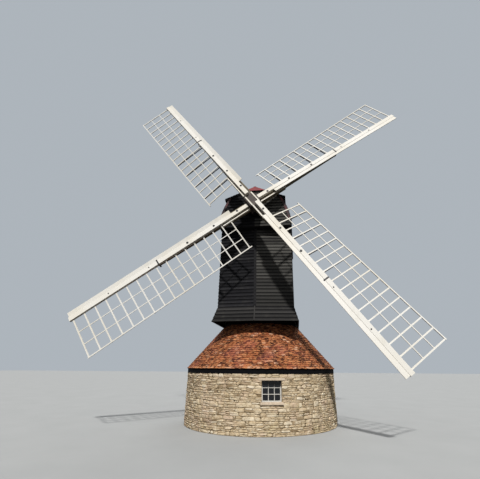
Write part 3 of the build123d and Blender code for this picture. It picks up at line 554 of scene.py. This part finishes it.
by_slot = {
    "limestone": mortar,
    "clay_tile": tile,
    "black_boards": black,
    "white_paint": white,
    "stock_timber": stock_wood,
    "red_paint": red,
    "oak": oak,
    "iron": iron,
    "glass": pane,
    "sill_stone": sill_stone,
    "pier_brick": brick,
}
by_node = {
    "eaves_fascia": tarred,
    "petticoat": tarred,
    "buck_floor": tarred,
    "sheers": tarred,
    "weather_beam": tarred,
    "neck_bearing": tarred,
    "windshaft": tarred,
    "breast_trim": trim_black,
    "poll_end": hub_iron,
    "stock_clamps": brown_wood,
    "stock_rear": brown_wood,
    "front_bargeboards": red_worn_and_shaded,
    "lower_roof": roof_black,
    "upper_roof": roof_black,
    "window_frame": shaded_cream,
    "window_lintel": sill_stone,
    "door_frame": cream,
    "tail_stage": grey_oak,
    "ladder_strings": grey_oak,
    "ladder_treads": grey_oak,
    "tailpole": grey_oak,
}
for part in frame["record"]["subparts"]:
    materials = frame["nodes"][part["node"]].data.materials
    materials.clear()
    materials.append(by_node.get(part["node"], by_slot[part["material_slot"]]))


# Roundhouse: stones, tiles, window bars and door planks


def random_tint(middle, spread):
    """A tone between 0 and 1, mostly near the middle given."""
    return min(1, max(0, random.gauss(middle, spread)))


def stone_block(pieces, corners, reach):
    """One rubble stone on the wall's face, with worn corners and a slightly swollen front."""
    (a0, low0), (a1, low1), (_, high1), (_, high0) = corners
    joint = random.uniform(0.003, 0.015)
    side = joint / WALL_R
    cut_a = min(0.050 / WALL_R, (a1 - a0) * 0.28)
    cut_z = min(0.035, (high0 - low0) * 0.38)
    outline = []
    for a, z, da, dz in (
        (a0 + side, low0 + joint, 1, 0),
        (a1 - side, low1 + joint, -1, 0),
        (a1 - side, low1 + joint, 0, 1),
        (a1 - side, high1 - joint, 0, -1),
        (a1 - side, high1 - joint, -1, 0),
        (a0 + side, high0 - joint, 1, 0),
        (a0 + side, high0 - joint, 0, -1),
        (a0 + side, low0 + joint, 0, 1),
    ):
        wear = random.uniform(0.05, 1.60)
        outline.append((a + da * cut_a * wear, z + dz * cut_z * wear))
    mid_a = (a0 + a1) / 2
    mid_z = (low0 + high0) / 2
    tilt = random.uniform(-0.05, 0.05)
    rings = []
    for out, shrink in ((-0.012, 0.0), (reach * 0.4, 0.0), (reach, 0.22)):
        points = []
        for a, z in outline:
            lean = tilt * (z - mid_z) if shrink else 0.0
            points.append(ring(lerp(a, mid_a, shrink), WALL_R + out + lean, lerp(z, mid_z, shrink)))
        rings.append(points)
    pieces.stack(rings, random_tint(0.52, 0.27))


def fill_course(pieces, start, finish, low, high):
    """A run of stones of mixed lengths between two azimuths, some of them two thin ones in a pile."""
    at = start
    while at < finish - 1e-6:
        tall = high(at) - low(at)
        length = random.uniform(0.07, 0.36) * (0.7 + tall * 4) / WALL_R
        if finish - at - length < 0.09 / WALL_R:
            length = finish - at
        end = at + length
        cuts = [0.0, 1.0]
        if tall > 0.080 and random.random() < 0.55:
            cuts = [0.0, random.uniform(0.35, 0.65), 1.0]
        for below, above in zip(cuts, cuts[1:]):
            places = ((at, below), (end, below), (end, above), (at, above))
            corners = [(a, lerp(low(a), high(a), part)) for a, part in places]
            stone_block(pieces, corners, random.uniform(0.008, 0.030))
        at = end


def flat(level):
    """A course's bed that is level all round, as a height at each azimuth."""
    def bed(azimuth):
        return level

    return bed


def wavy(level, phase, holes):
    """A course's bed: level beside the openings and gently uneven elsewhere."""
    def bed(azimuth):
        gaps = []
        for a0, a1 in holes:
            away = abs(math.remainder(azimuth - (a0 + a1) / 2, 2 * math.pi))
            gaps.append(away - (a1 - a0) / 2)
        calm = min(1.0, max(0.0, (min(gaps) - 0.02) / 0.12))
        wave = math.sin(7 * azimuth + phase) + 0.6 * math.sin(19 * azimuth + 2.3 * phase)
        return level + WAVE * 0.5 * calm * wave

    return bed


def wall_holes():
    """Two azimuths and two heights of each break in the wall: window, sill, lintel and door."""
    sill_low = WINDOW_LOW - SILL_DEEP
    lintel_high = WINDOW_HIGH + LINTEL_DEEP
    holes = []
    for middle, half, low, high in (
        (WINDOW_TURN, WINDOW_WIDE / 2, WINDOW_LOW, WINDOW_HIGH),
        (WINDOW_TURN, WINDOW_WIDE / 2 + SILL_PAST, sill_low, WINDOW_LOW),
        (WINDOW_TURN, WINDOW_WIDE / 2 + LINTEL_PAST, WINDOW_HIGH, lintel_high),
        (math.pi, DOOR_WIDE / 2 + DOOR_FRAME, 0.0, DOOR_HIGH),
    ):
        reach = math.asin(half / WALL_R)
        holes.append((middle - reach, middle + reach, low, high))
    return holes


def stone_wall():
    """Coursed rubble all round the roundhouse, broken by the window and the door."""
    pieces = Pieces()
    thinnest = 0.035
    holes = wall_holes()
    spans = [hole[:2] for hole in holes]
    stops = (WINDOW_LOW - SILL_DEEP, WINDOW_LOW, WINDOW_HIGH, WINDOW_HIGH + LINTEL_DEEP, WALL_TOP)
    low = 0.003
    bed = flat(low)
    while low < WALL_TOP - 0.02:
        high = low + random.uniform(0.060, 0.165)
        for level in stops:
            if abs(high - level) < thinnest:
                high = level
        high = min(high, WALL_TOP)
        top = wavy(high, random.uniform(0, 6.28), spans) if high < WALL_TOP else flat(high)
        start = random.uniform(-0.1, 0.1) - math.pi * 0.6
        at = start
        for a0, a1, z0, z1 in sorted(h for h in holes if h[2] < high - 0.01 and h[3] > low + 0.01):
            if a0 > at:
                fill_course(pieces, at, a0, bed, top)
            if z0 - low > thinnest:
                fill_course(pieces, a0, a1, flat(low), flat(z0))
            if high - z1 > thinnest:
                fill_course(pieces, a0, a1, flat(z1), flat(high))
            at = max(at, a1)
        fill_course(pieces, at, start + 2 * math.pi, bed, top)
        low = high
        bed = top
    pieces.make("wall_stones", "roundhouse", stone, smooth=32)


def roof_tile(pieces, azimuth, width, foot, tint):
    """One cambered clay tile, its foot at a distance up the slope and its head under the next course."""
    slip = random.gauss(0, 0.004)
    twist = random.gauss(0, 0.012)
    lift = random.uniform(-0.003, 0.007)
    camber = [(-0.5, -0.003), (-0.17, 0.0), (0.17, 0.0), (0.5, -0.003)]
    ends = []
    for part, over in ((0.0, lift), (1.0, -0.024)):
        along = foot - slip + part * TILE_LENGTH
        radius = TILE_FOOT_R - CONE_OUT_Z * along
        height = TILE_FOOT_Z + CONE_OUT_R * along
        swing = twist * part * TILE_LENGTH / radius
        upper = [(side, over + bow) for side, bow in camber]
        under = [(side, over + bow - TILE_THICK) for side, bow in reversed(camber)]
        points = []
        for side, rise in upper + under:
            turn = azimuth + side * width / radius + swing
            points.append(ring(turn, radius + CONE_OUT_R * rise, height + CONE_OUT_Z * rise))
        ends.append(points)
    pieces.stack(ends, tint)


def tile_roof():
    """Courses of plain tiles round the cone, the eaves course paler with a painted highlight, and some
    nearly black ones.
    """
    pieces = Pieces()
    rows = round((TILE_END_Z - TILE_FOOT_Z) / CONE_OUT_R / TILE_GAUGE)
    for row in range(rows):
        foot = row * TILE_GAUGE - 0.018
        radius = TILE_FOOT_R - CONE_OUT_Z * foot
        count = round(2 * math.pi * radius / TILE_WIDTH)
        pitch = 2 * math.pi / count
        start = random.uniform(0, pitch)
        for i in range(count):
            tint = random_tint(0.50, 0.26)
            if random.random() < 0.12:
                tint = random.uniform(0.0, 0.12)
            # Painted highlight: the eaves course is paler, as on lit tile edges.
            if row == 0:
                tint = random.uniform(0.7, 1.0)
            roof_tile(pieces, start + i * pitch, radius * pitch - 0.004, foot, tint)
    return pieces.make("roof_tiles", "roundhouse", tile)


def tarred_collar():
    """Upright tarred boards round the top of the roof, above the last row of tiles."""
    pieces = Pieces()
    thick = 0.032
    count = 60
    levels = []
    for height in (TILE_END_Z + 0.010, TILE_TOP_Z):
        levels.append((lerp(TILE_FOOT_R, TILE_TOP_R, (height - TILE_FOOT_Z) / CONE_RISE), height))
    for i in range(count):
        a0 = 2 * math.pi * i / count
        a1 = a0 + 2 * math.pi / count - 0.003
        rise = random.uniform(-0.004, 0.002)
        rings = []
        for radius, height in levels:
            outer = (radius + CONE_OUT_R * rise, height + CONE_OUT_Z * rise)
            inner = (radius - CONE_OUT_R * thick, height - CONE_OUT_Z * thick)
            rings.append([ring(a0, *inner), ring(a1, *inner), ring(a1, *outer), ring(a0, *outer)])
        pieces.stack(rings, random.random())
    pieces.make("roof_collar", "roundhouse", tarred)


def tile_deck():
    """The roof's shell under the tiles, closed along the eaves."""
    pieces = Pieces()
    sides = 96
    inward, upward = 0.2, 0.2259
    section = []
    for radius, height, under in (
        (TILE_FOOT_R, TILE_FOOT_Z, DECK_TOP),
        (TILE_TOP_R, TILE_TOP_Z, DECK_TOP),
        (TILE_TOP_R, TILE_TOP_Z, DECK_UNDER),
        (TILE_FOOT_R - inward, TILE_FOOT_Z + upward, DECK_UNDER),
    ):
        section.append((radius - CONE_OUT_R * under, height - CONE_OUT_Z * under))
    section += [(DECK_EDGE_R, DECK_EDGE_LOW), (DECK_EDGE_R, DECK_EDGE_HIGH)]
    section.append((TILE_FOOT_R - 0.02, DECK_EDGE_HIGH))
    verts = [ring(2 * math.pi * i / sides, r, z) for i in range(sides) for r, z in section]
    count = len(section)
    faces = []
    for i in range(sides):
        here, there = i * count, (i + 1) % sides * count
        for k in range(count):
            m = (k + 1) % count
            faces.append((here + k, there + k, there + m, here + m))
    pieces.solid(verts, faces, 0.3)
    pieces.make("roof_deck", "roundhouse", deck, smooth=30)


def facing(turn):
    """Sideways and outward directions at an azimuth."""
    return Vector((math.cos(turn), math.sin(turn), 0)), ring(turn, 1, 0)


def window_bars():
    """Glazing bars, two upright and two level, and the sash round them."""
    pieces = Pieces()
    side, out = facing(WINDOW_TURN)
    face = math.sqrt(WALL_R**2 - (WINDOW_WIDE / 2) ** 2) - 0.095
    middle = (WINDOW_LOW + WINDOW_HIGH) / 2
    high = WINDOW_HIGH - WINDOW_LOW
    bar_half, sash_half, frame_wide = 0.012, 0.017, 0.040
    inside = side * (WINDOW_WIDE / 2 - frame_wide)
    for k in (-1, 1):
        centre = out * (face - 0.026) + side * (k * WINDOW_WIDE * 0.150) + UP * middle
        pieces.box(centre, UP * (high / 2 - frame_wide), side * bar_half, out * 0.020, chamfer=0.005)
        centre = out * (face - 0.027) + UP * (middle + k * high * 0.150)
        pieces.box(centre, inside, UP * bar_half, out * 0.019, chamfer=0.005)
    for k in (-1, 1):
        centre = out * (face + 0.004) + side * (k * (WINDOW_WIDE - frame_wide) / 2) + UP * middle
        pieces.box(centre, UP * (high / 2 - 0.004), side * sash_half, out * 0.006)
        centre = out * (face + 0.004) + UP * (middle + k * (high - frame_wide) / 2)
        pieces.box(centre, inside, UP * sash_half, out * 0.005)
    pieces.make("window_bars", "roundhouse", shaded_cream)


def plank_row(pieces, count, wide, centre, side, long, thick, chamfer=0.004):
    """Equal planks side by side about a centre. Their half length and half thickness are vectors."""
    pitch = wide / count
    for i in range(count):
        middle = centre + side * ((i + 0.5) * pitch - wide / 2)
        pieces.box(middle, long, side * (pitch / 2 - 0.003), thick, random.random(), chamfer)


def roundhouse_door():
    """Upright planks, iron strap hinges and a handle on the roundhouse door."""
    planks = Pieces()
    straps = Pieces()
    side, out = facing(math.pi)
    face = WALL_R - 0.135
    leaf = DOOR_HIGH - DOOR_FRAME
    centre = out * (face + 0.008) + UP * (leaf / 2)
    plank_row(planks, 6, DOOR_WIDE, centre, side, UP * (leaf / 2 - 0.008), out * 0.010)
    for level in (0.35, 1.35):
        centre = out * (face + 0.021) + side * 0.08 + UP * level
        straps.box(centre, side * 0.33, UP * 0.025, out * 0.004)
        for x in (-0.2, 0.0, 0.2, 0.36):
            straps.disc(centre + side * x + out * 0.003, out, 0.011, 0.006, 8)
    straps.box(out * (face + 0.026) - side * 0.36 + UP * 0.90, UP * 0.060, side * 0.014, out * 0.008)
    planks.make("door_planks", "roundhouse", oak)
    straps.make("door_straps", "roundhouse", iron)


def tail_door():
    """Upright planks, iron strap hinges and a handle on the tail door."""
    planks = Pieces()
    straps = Pieces()
    surface = TAIL - 0.030
    centre = Vector((TAIL_DOOR_X, surface + 0.004, TAIL_DOOR_LOW + TAIL_DOOR_TALL / 2))
    half = UP * (TAIL_DOOR_TALL / 2 - 0.006)
    plank_row(planks, 5, TAIL_DOOR_WIDE, centre, ACROSS, half, BACK * 0.008)
    for level in (5.2, 6.25):
        centre = Vector((TAIL_DOOR_X - 0.06, surface + 0.015, level))
        straps.box(centre, ACROSS * 0.27, UP * 0.022, BACK * 0.004)
        for x in (-0.22, -0.06, 0.10):
            straps.disc(Vector((TAIL_DOOR_X + x, surface + 0.018, level)), BACK, 0.010, 0.006, 8)
    handle = Vector((TAIL_DOOR_X + 0.28, surface + 0.020, 5.75))
    straps.box(handle, UP * 0.055, ACROSS * 0.012, BACK * 0.008)
    planks.make("tail_door_planks", "buck", black)
    straps.make("tail_door_straps", "buck", iron)


# Body: weatherboards, roof boards and trim


def courses(low, high):
    """Levels of the weatherboards between two heights, each close to the usual exposure."""
    count = max(1, round((high - low) / EXPOSURE))
    return [(lerp(low, high, i / count), lerp(low, high, (i + 1) / count)) for i in range(count)]


def board_run(pieces, start, finish, low, high, out, longest=3.4):
    """A course of boards along a wall, butt jointed where it is longer than a board."""
    length = (finish(low) - start(low)).length
    cuts = [0.0]
    while length - cuts[-1] > longest:
        cuts.append(cuts[-1] + random.uniform(1.6, longest))
    cuts.append(length)
    for a, b in zip(cuts, cuts[1:]):
        gap = 0.002 if b < length else 0.0
        ends = []
        for level in (low, high):
            ends.append([start(level).lerp(finish(level), at / length) for at in (a, b - gap)])
        pieces.wedge(*ends, out, random.uniform(0.028, 0.033), 0.008, random.random())


def upright(x, y):
    """An end of a wall's boards that stands upright, as a place at each height."""
    def end(z):
        return Vector((x, y, z))

    return end


def under_roof(side, y, least=0.0):
    """An end of a gable's boards that follows the roof, as a place at each height."""
    def end(z):
        return Vector((side * max(least, gable_half(z) - 0.004), y, z))

    return end


def sloping(top, foot):
    """A corner of the petticoat between its top and its foot, as a place at each height."""
    def end(z):
        part = (WALL_LOW - z) / (WALL_LOW - SKIRT_LOW)
        return Vector((lerp(top[0], foot[0], part), lerp(top[1], foot[1], part), z))

    return end


def breast_boards(pieces, side):
    """Weatherboards on one half of the breast, from its centre trim to the corner."""
    out = Vector((side * (FRONT - NOSE), -HALF, 0)).normalized()
    start = upright(side * TRIM_HALF, lerp(NOSE, FRONT, TRIM_HALF / HALF))
    finish = upright(side * (HALF + 0.010), FRONT)
    for low, high in courses(WALL_LOW, JETTY_LOW):
        board_run(pieces, start, finish, low, high, out)


def side_boards(pieces, side):
    """Weatherboards along one side wall, which reaches further forward above the jetty."""
    finish = upright(side * HALF, TAIL + 0.010)
    for forward, foot, head in ((FRONT, WALL_LOW, JETTY_LOW), (GABLE, JETTY_LOW, EAVES)):
        start = upright(side * HALF, forward - 0.010)
        for low, high in courses(foot, head):
            board_run(pieces, start, finish, low, high, ACROSS * side)


def tail_boards(pieces):
    """Weatherboards of the tail wall, on both sides of its door where they meet it."""
    frame_half = TAIL_DOOR_WIDE / 2 + 0.020
    for low, high in courses(WALL_LOW, EAVES):
        spans = [(-HALF, HALF)]
        if high > TAIL_DOOR_LOW + 0.01 and low < TAIL_DOOR_LOW + TAIL_DOOR_TALL + 0.03:
            spans = [(-HALF, TAIL_DOOR_X - frame_half), (TAIL_DOOR_X + frame_half, HALF)]
        for a, b in spans:
            board_run(pieces, upright(a, TAIL), upright(b, TAIL), low, high, BACK)


def body_boards():
    """Weatherboards of the breast, the sides and the tail. The breast's left half is darker, with painted
    shade.
    """
    pieces = Pieces()
    # Boards of the breast's left half, darker with painted shade.
    second = Pieces()
    for side, breast in ((1, pieces), (-1, second)):
        breast_boards(breast, side)
        side_boards(pieces, side)
    second.make("breast_boards_left", "buck", shaded_left_black)
    tail_boards(pieces)
    pieces.make("body_boards", "buck", black)


def arc_through(a, b, c):
    """Centre and radius of the circle through three points."""
    d = 2 * (a[0] * (b[1] - c[1]) + b[0] * (c[1] - a[1]) + c[0] * (a[1] - b[1]))
    sa, sb, sc = (p[0] ** 2 + p[1] ** 2 for p in (a, b, c))
    x = (sa * (b[1] - c[1]) + sb * (c[1] - a[1]) + sc * (a[1] - b[1])) / d
    z = (sa * (c[0] - b[0]) + sb * (a[0] - c[0]) + sc * (b[0] - a[0])) / d
    return x, z, math.hypot(a[0] - x, a[1] - z)


def gable_half(z):
    """Half width of an end wall under the roof at a height."""
    inner = [(x - ROOF_THICK, h) for x, h in ROOF_ARC]
    if z <= EAVES:
        return HALF
    fall = (RIDGE - HOOD_EAVE[1]) / HOOD_EAVE[0]
    hood = (RIDGE - HOOD_THICK - z) / fall
    if z >= ROOF_ARC[2][1]:
        return max(0.0, hood)
    x, h, radius = arc_through(*inner)
    reach = math.sqrt(max(0, radius**2 - (z - h) ** 2))
    bulge = x + reach if inner[1][0] > x else x - reach
    return min(bulge, hood)


def gable_boards():
    """Level boards on the jettied front gable, round the windshaft's opening, and on the tail gable. The
    front gable's left half is darker, with painted shade.
    """
    pieces = Pieces()
    # Boards of the front gable's left half, darker with painted shade.
    second = Pieces()
    hole_z = HUB.z - (GABLE - HUB.y) * math.tan(TILT)
    top = RIDGE - 0.12
    for low, high in courses(JETTY_LOW, top):
        near = max(0.0, abs((low + high) / 2 - hole_z) - EXPOSURE / 2)
        cut = math.sqrt(SHAFT_HOLE_R**2 - near**2) if near < SHAFT_HOLE_R else 0.0
        for side, gable in ((1, pieces), (-1, second)):
            start = upright(side * cut, GABLE)
            board_run(gable, start, under_roof(side, GABLE, cut + 0.01), low, high, -BACK)
    second.make("gable_boards_left", "buck", shaded_left_black)
    for low, high in courses(EAVES, top):
        board_run(pieces, under_roof(-1, TAIL), under_roof(1, TAIL), low, high, BACK)
    pieces.make("gable_boards", "buck", black)


def skirt_boards():
    """Flared boards of the petticoat, mitred at the corners, with a strip over the mitre at the nose."""
    pieces = Pieces()
    top = [(HALF, FRONT), (0, NOSE), (-HALF, FRONT), (-HALF, TAIL), (HALF, TAIL)]
    half, front, rear = HALF + FLARE_SIDE, FRONT - FLARE_END, TAIL + FLARE_END
    foot = [(half, front), (0, NOSE - FLARE_NOSE), (-half, front), (-half, rear), (half, rear)]
    corners = [sloping(*pair) for pair in zip(top, foot)]
    for start, finish in zip(corners, corners[1:] + corners[:1]):
        out = UP.cross(finish(SKIRT_LOW) - start(SKIRT_LOW)).normalized()
        for low, high in courses(SKIRT_LOW + 0.001, WALL_LOW):
            board_run(pieces, start, finish, low, high, out)
    nose = corners[1]
    edge = nose(WALL_LOW) - nose(SKIRT_LOW)
    out = Vector((0, -edge.z, edge.y)).normalized()
    centre = (nose(WALL_LOW) + nose(SKIRT_LOW)) / 2 + out * 0.030
    pieces.box(centre, edge * 0.49, ACROSS * 0.020, out * 0.012, 1.0)
    pieces.make("skirt_boards", "buck", skirt_black)


def roof_slope(pieces, side, rows, front, rear):
    """Boards along one slope, between the rows given, each course with a joint near its middle."""
    for (x0, z0), (x1, z1) in zip(rows, rows[1:]):
        out = Vector((side * abs(z1 - z0), 0, abs(x1 - x0))).normalized()
        joint = random.uniform(-1.2, 1.2)
        for y0, y1 in ((front, joint - 0.002), (joint, rear)):
            low = [Vector((x0, y, z0)) for y in (y0, y1)]
            high = [Vector((x1, y, z1)) for y in (y0, y1)]
            pieces.wedge(low, high, out, 0.020, 0.006, random.random())


def roof_boards():
    """Boards along the curved lower roof and over the upper roof, and the ridge board."""
    pieces = Pieces()
    x, h, radius = arc_through(*ROOF_ARC)
    way = 1 if ROOF_ARC[1][0] > x else -1
    turn_low = math.atan2(ROOF_ARC[0][1] - h, way * (ROOF_ARC[0][0] - x))
    turn_high = math.atan2(ROOF_ARC[2][1] - h, way * (ROOF_ARC[2][0] - x))
    lower_count = round(abs(turn_high - turn_low) * radius / EXPOSURE)
    upper_count = round(math.hypot(HOOD_EAVE[0], RIDGE - HOOD_EAVE[1]) / EXPOSURE)
    for side in (1, -1):
        rows = []
        for k in range(lower_count + 1):
            turn = lerp(turn_low, turn_high, k / lower_count)
            rows.append((side * (x + way * radius * math.cos(turn)), h + radius * math.sin(turn)))
        roof_slope(pieces, side, rows, *LOWER_ROOF)
        rows = []
        for k in range(upper_count + 1):
            part = 1 - k / upper_count
            rows.append((side * HOOD_EAVE[0] * part, lerp(RIDGE, HOOD_EAVE[1], part)))
        roof_slope(pieces, side, rows, *UPPER_ROOF)
    front, rear = UPPER_ROOF
    ridge = Vector((0, (front + rear) / 2, RIDGE + 0.006))
    pieces.box(ridge, BACK * ((rear - front) / 2), ACROSS * 0.060, UP * 0.016, 0.4, chamfer=0.01)
    pieces.make("roof_boards", "buck", roof_black)


def stage_boards():
    """Deck boards of the tail stage."""
    boards = Pieces()
    centre = Vector((0, TAIL + 0.030 + STAGE_DEEP / 2, STAGE_TOP))
    plank_row(boards, 13, STAGE_WIDE, centre, ACROSS, BACK * (STAGE_DEEP / 2), UP * 0.007, 0.003)
    boards.make("stage_deck", "buck", grey_oak)


# Sails: white boards along the clamps, bolts and straps


def sail_axes(turns):
    """Outward, lattice and forward directions of a sail, some quarter turns on from the first."""
    angle = SAIL_TURN + math.pi / 2 * turns
    rise = Vector((0, math.sin(TILT), math.cos(TILT)))
    ahead = Vector((0, -math.cos(TILT), math.sin(TILT)))
    outward = ACROSS * math.cos(angle) + rise * math.sin(angle)
    lattice = rise * math.cos(angle) - ACROSS * math.sin(angle)
    return (
        outward * math.cos(LEAN) - ahead * math.sin(LEAN),
        lattice,
        ahead * math.cos(LEAN) + outward * math.sin(LEAN),
    )


def on_sail(axes, radius, side, forward):
    """A place on a sail, by its distances from the hub, towards the lattice and forward."""
    outward, lattice, ahead = axes
    return HUB + outward * radius + lattice * side + ahead * forward


def whip_half(radius):
    """Half the thickness of a whip at a distance from the hub."""
    return lerp(*WHIP_HALF, (radius - WHIP_HEEL) / WHIP_LONG)


def lip_board(pieces, turns, start, finish, side, forward, wide, thick):
    """A narrow board along a sail between two distances from the hub, by its half width and thickness."""
    axes = sail_axes(turns)
    outward, lattice, ahead = axes
    centre = on_sail(axes, (start + finish) / 2, side, forward)
    pieces.box(centre, outward * ((finish - start) / 2), lattice * wide, ahead * thick)


def clamp_lips():
    """Narrow white boards along the clamps of the stocks, and through beside the poll end."""
    lips = Pieces()
    for turns, plane in ((1, FRONT_PLANE), (2, REAR_PLANE)):
        lip_board(lips, turns, 0.310, 1.710, 0.221, plane - 0.075, 0.026, 0.045)
    for turns, plane, finish in ((3, FRONT_PLANE, 1.270), (0, REAR_PLANE, 1.700)):
        lip_board(lips, turns, 0.300, finish, -0.175, plane - 0.066, 0.030, 0.016)
    for side in (0.190, -0.170):
        lip_board(lips, 1, -0.330, 0.330, side, FRONT_PLANE - 0.066, 0.029, 0.016)
    lips.make("clamp_lips", "sails", white)


def sail_bolts():
    """Bolt heads along the face of each whip."""
    bolts = Pieces()
    for turns, plane in SAIL_PLANES:
        axes = sail_axes(turns)
        for radius, head in BOLTS:
            centre = on_sail(axes, radius, BOLT_LINE, plane + whip_half(radius))
            bolts.disc(centre, axes[2], head, 0.018, 12)
    bolts.make("sail_bolts", "sails", iron)


def sail_straps():
    """An iron strap round each whip and its stock, close to the stock's end."""
    straps = Pieces()
    part = STRAP_R / STOCK_REACH
    near_side = -lerp(*STOCK_HALF, part) - 0.006
    far_side = max(-near_side, WHIP_MIDDLE + WHIP_EDGE)
    for turns, plane in SAIL_PLANES:
        axes = sail_axes(turns)
        outward, lattice, ahead = axes
        front = plane + whip_half(STRAP_R) + 0.004
        rear = plane - whip_half(STRAP_R) - lerp(*STOCK_DEEP, part) - 0.004
        deep = ahead * ((front - rear) / 2)
        wide = lattice * ((far_side - near_side) / 2)
        for side in (near_side, far_side):
            centre = on_sail(axes, STRAP_R, side, (front + rear) / 2)
            straps.box(centre, outward * 0.028, lattice * 0.005, deep, chamfer=0.002)
        for face in (front, rear):
            centre = on_sail(axes, STRAP_R, (near_side + far_side) / 2, face)
            straps.box(centre, outward * 0.028, wide, ahead * 0.005, chamfer=0.002)
    straps.make("sail_straps", "sails", iron)


stone_wall()
tiles = tile_roof()
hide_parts("roundhouse_roof")
tarred_collar()
tile_deck()
window_bars()
roundhouse_door()
tail_door()
body_boards()
gable_boards()
skirt_boards()
roof_boards()
stage_boards()
clamp_lips()
sail_bolts()
sail_straps()


# Camera, light and floor


def photo_camera():
    """A camera that stands where the photograph was taken, below the hub and looking up."""
    data = bpy.data.cameras.new("photo_camera")
    data.sensor_width = 36
    data.sensor_fit = "HORIZONTAL"
    data.lens = 23.17
    data.shift_x = -0.0364
    data.shift_y = -0.0118
    data.clip_start = 0.1
    data.clip_end = 400
    camera = bpy.data.objects.new("photo_camera", data)
    place = Matrix.Translation(CAMERA_AT + BACK * POST_Y)
    for degrees, axis in ((6.856, "Z"), (90 + 23.395, "X"), (0.351, "Z")):
        place = place @ Matrix.Rotation(math.radians(degrees), 4, axis)
    camera.matrix_world = place
    bpy.context.scene.collection.objects.link(camera)
    bpy.context.scene.camera = camera


def seen_directly(tree):
    """A socket that is 1 for camera, glossy and transmission rays, and 0 for all others."""
    path = add_node(tree, "LightPath")
    seen = path.outputs["Is Camera Ray"]
    for kind in ("Is Glossy Ray", "Is Transmission Ray"):
        either = add_node(tree, "Math")
        either.operation = "MAXIMUM"
        tree.links.new(seen, either.inputs[0])
        tree.links.new(path.outputs[kind], either.inputs[1])
        seen = either.outputs[0]
    return seen


def sky():
    """A soft light that grows from the horizon up, and a plain pale background where it is seen."""
    world = bpy.data.worlds.new("studio")
    world.use_nodes = True
    tree = world.node_tree
    tree.nodes.clear()
    link = tree.links.new
    out = add_node(tree, "OutputWorld")
    light = add_node(tree, "Background", Color=(0.93, 0.96, 1.0, 1))
    shown = add_node(tree, "Background", Color=(0.42, 0.46, 0.50, 1), Strength=1.0)
    coords = add_node(tree, "TexCoord")
    split = add_node(tree, "SeparateXYZ")
    climb = add_node(tree, "MapRange", From_Min=0.0, From_Max=0.8, To_Min=0.03, To_Max=0.42)
    blend = add_node(tree, "MixShader")
    link(coords.outputs["Generated"], split.inputs[0])
    link(split.outputs["Z"], climb.inputs["Value"])
    link(climb.outputs[0], light.inputs["Strength"])
    link(seen_directly(tree), blend.inputs[0])
    link(light.outputs[0], blend.inputs[1])
    link(shown.outputs[0], blend.inputs[2])
    link(blend.outputs[0], out.inputs[0])
    bpy.context.scene.world = world


def sun(name, azimuth, elevation, energy, spread, colour):
    """A lamp at an azimuth from the front towards +X. Its angles and its spread are in degrees."""
    data = bpy.data.lights.new(name, "SUN")
    data.energy = energy
    data.angle = math.radians(spread)
    data.color = colour
    lamp = bpy.data.objects.new(name, data)
    a, e = math.radians(azimuth), math.radians(elevation)
    lamp.rotation_mode = "QUATERNION"
    lamp.rotation_quaternion = ring(a, math.cos(e), math.sin(e)).to_track_quat("Z", "Y")
    bpy.context.scene.collection.objects.link(lamp)


def pale_floor():
    """A plain floor that looks pale and throws back little light, as grass would."""
    s = Shade("pale_floor", 0.9, 0.2)
    shown = s.ramp(s.noise(0.6), [(0.3, (0.40, 0.41, 0.41)), (0.8, (0.43, 0.44, 0.44))])
    s.colour(s.mix(seen_directly(s.tree), (0.035, 0.035, 0.03), shown))
    mesh = bpy.data.meshes.new("floor")
    reach = 150
    corners = [(-reach, -reach, 0), (reach, -reach, 0), (reach, reach, 0), (-reach, reach, 0)]
    mesh.from_pydata(corners, [], [(0, 1, 2, 3)])
    mesh.materials.append(s.material)
    made = bpy.data.objects.new("floor", mesh)
    bpy.context.scene.collection.objects.link(made)


photo_camera()
bpy.context.scene.view_settings.view_transform = "Standard"
sky()
sun("key", azimuth=8, elevation=43, energy=3.45, spread=3, colour=(1.0, 0.98, 0.95))
sun("fill", azimuth=-6, elevation=8, energy=0.32, spread=30, colour=(0.97, 0.98, 1.0))
sun("back", azimuth=170, elevation=40, energy=0.6, spread=40, colour=(1.0, 0.98, 0.95))
pale_floor()
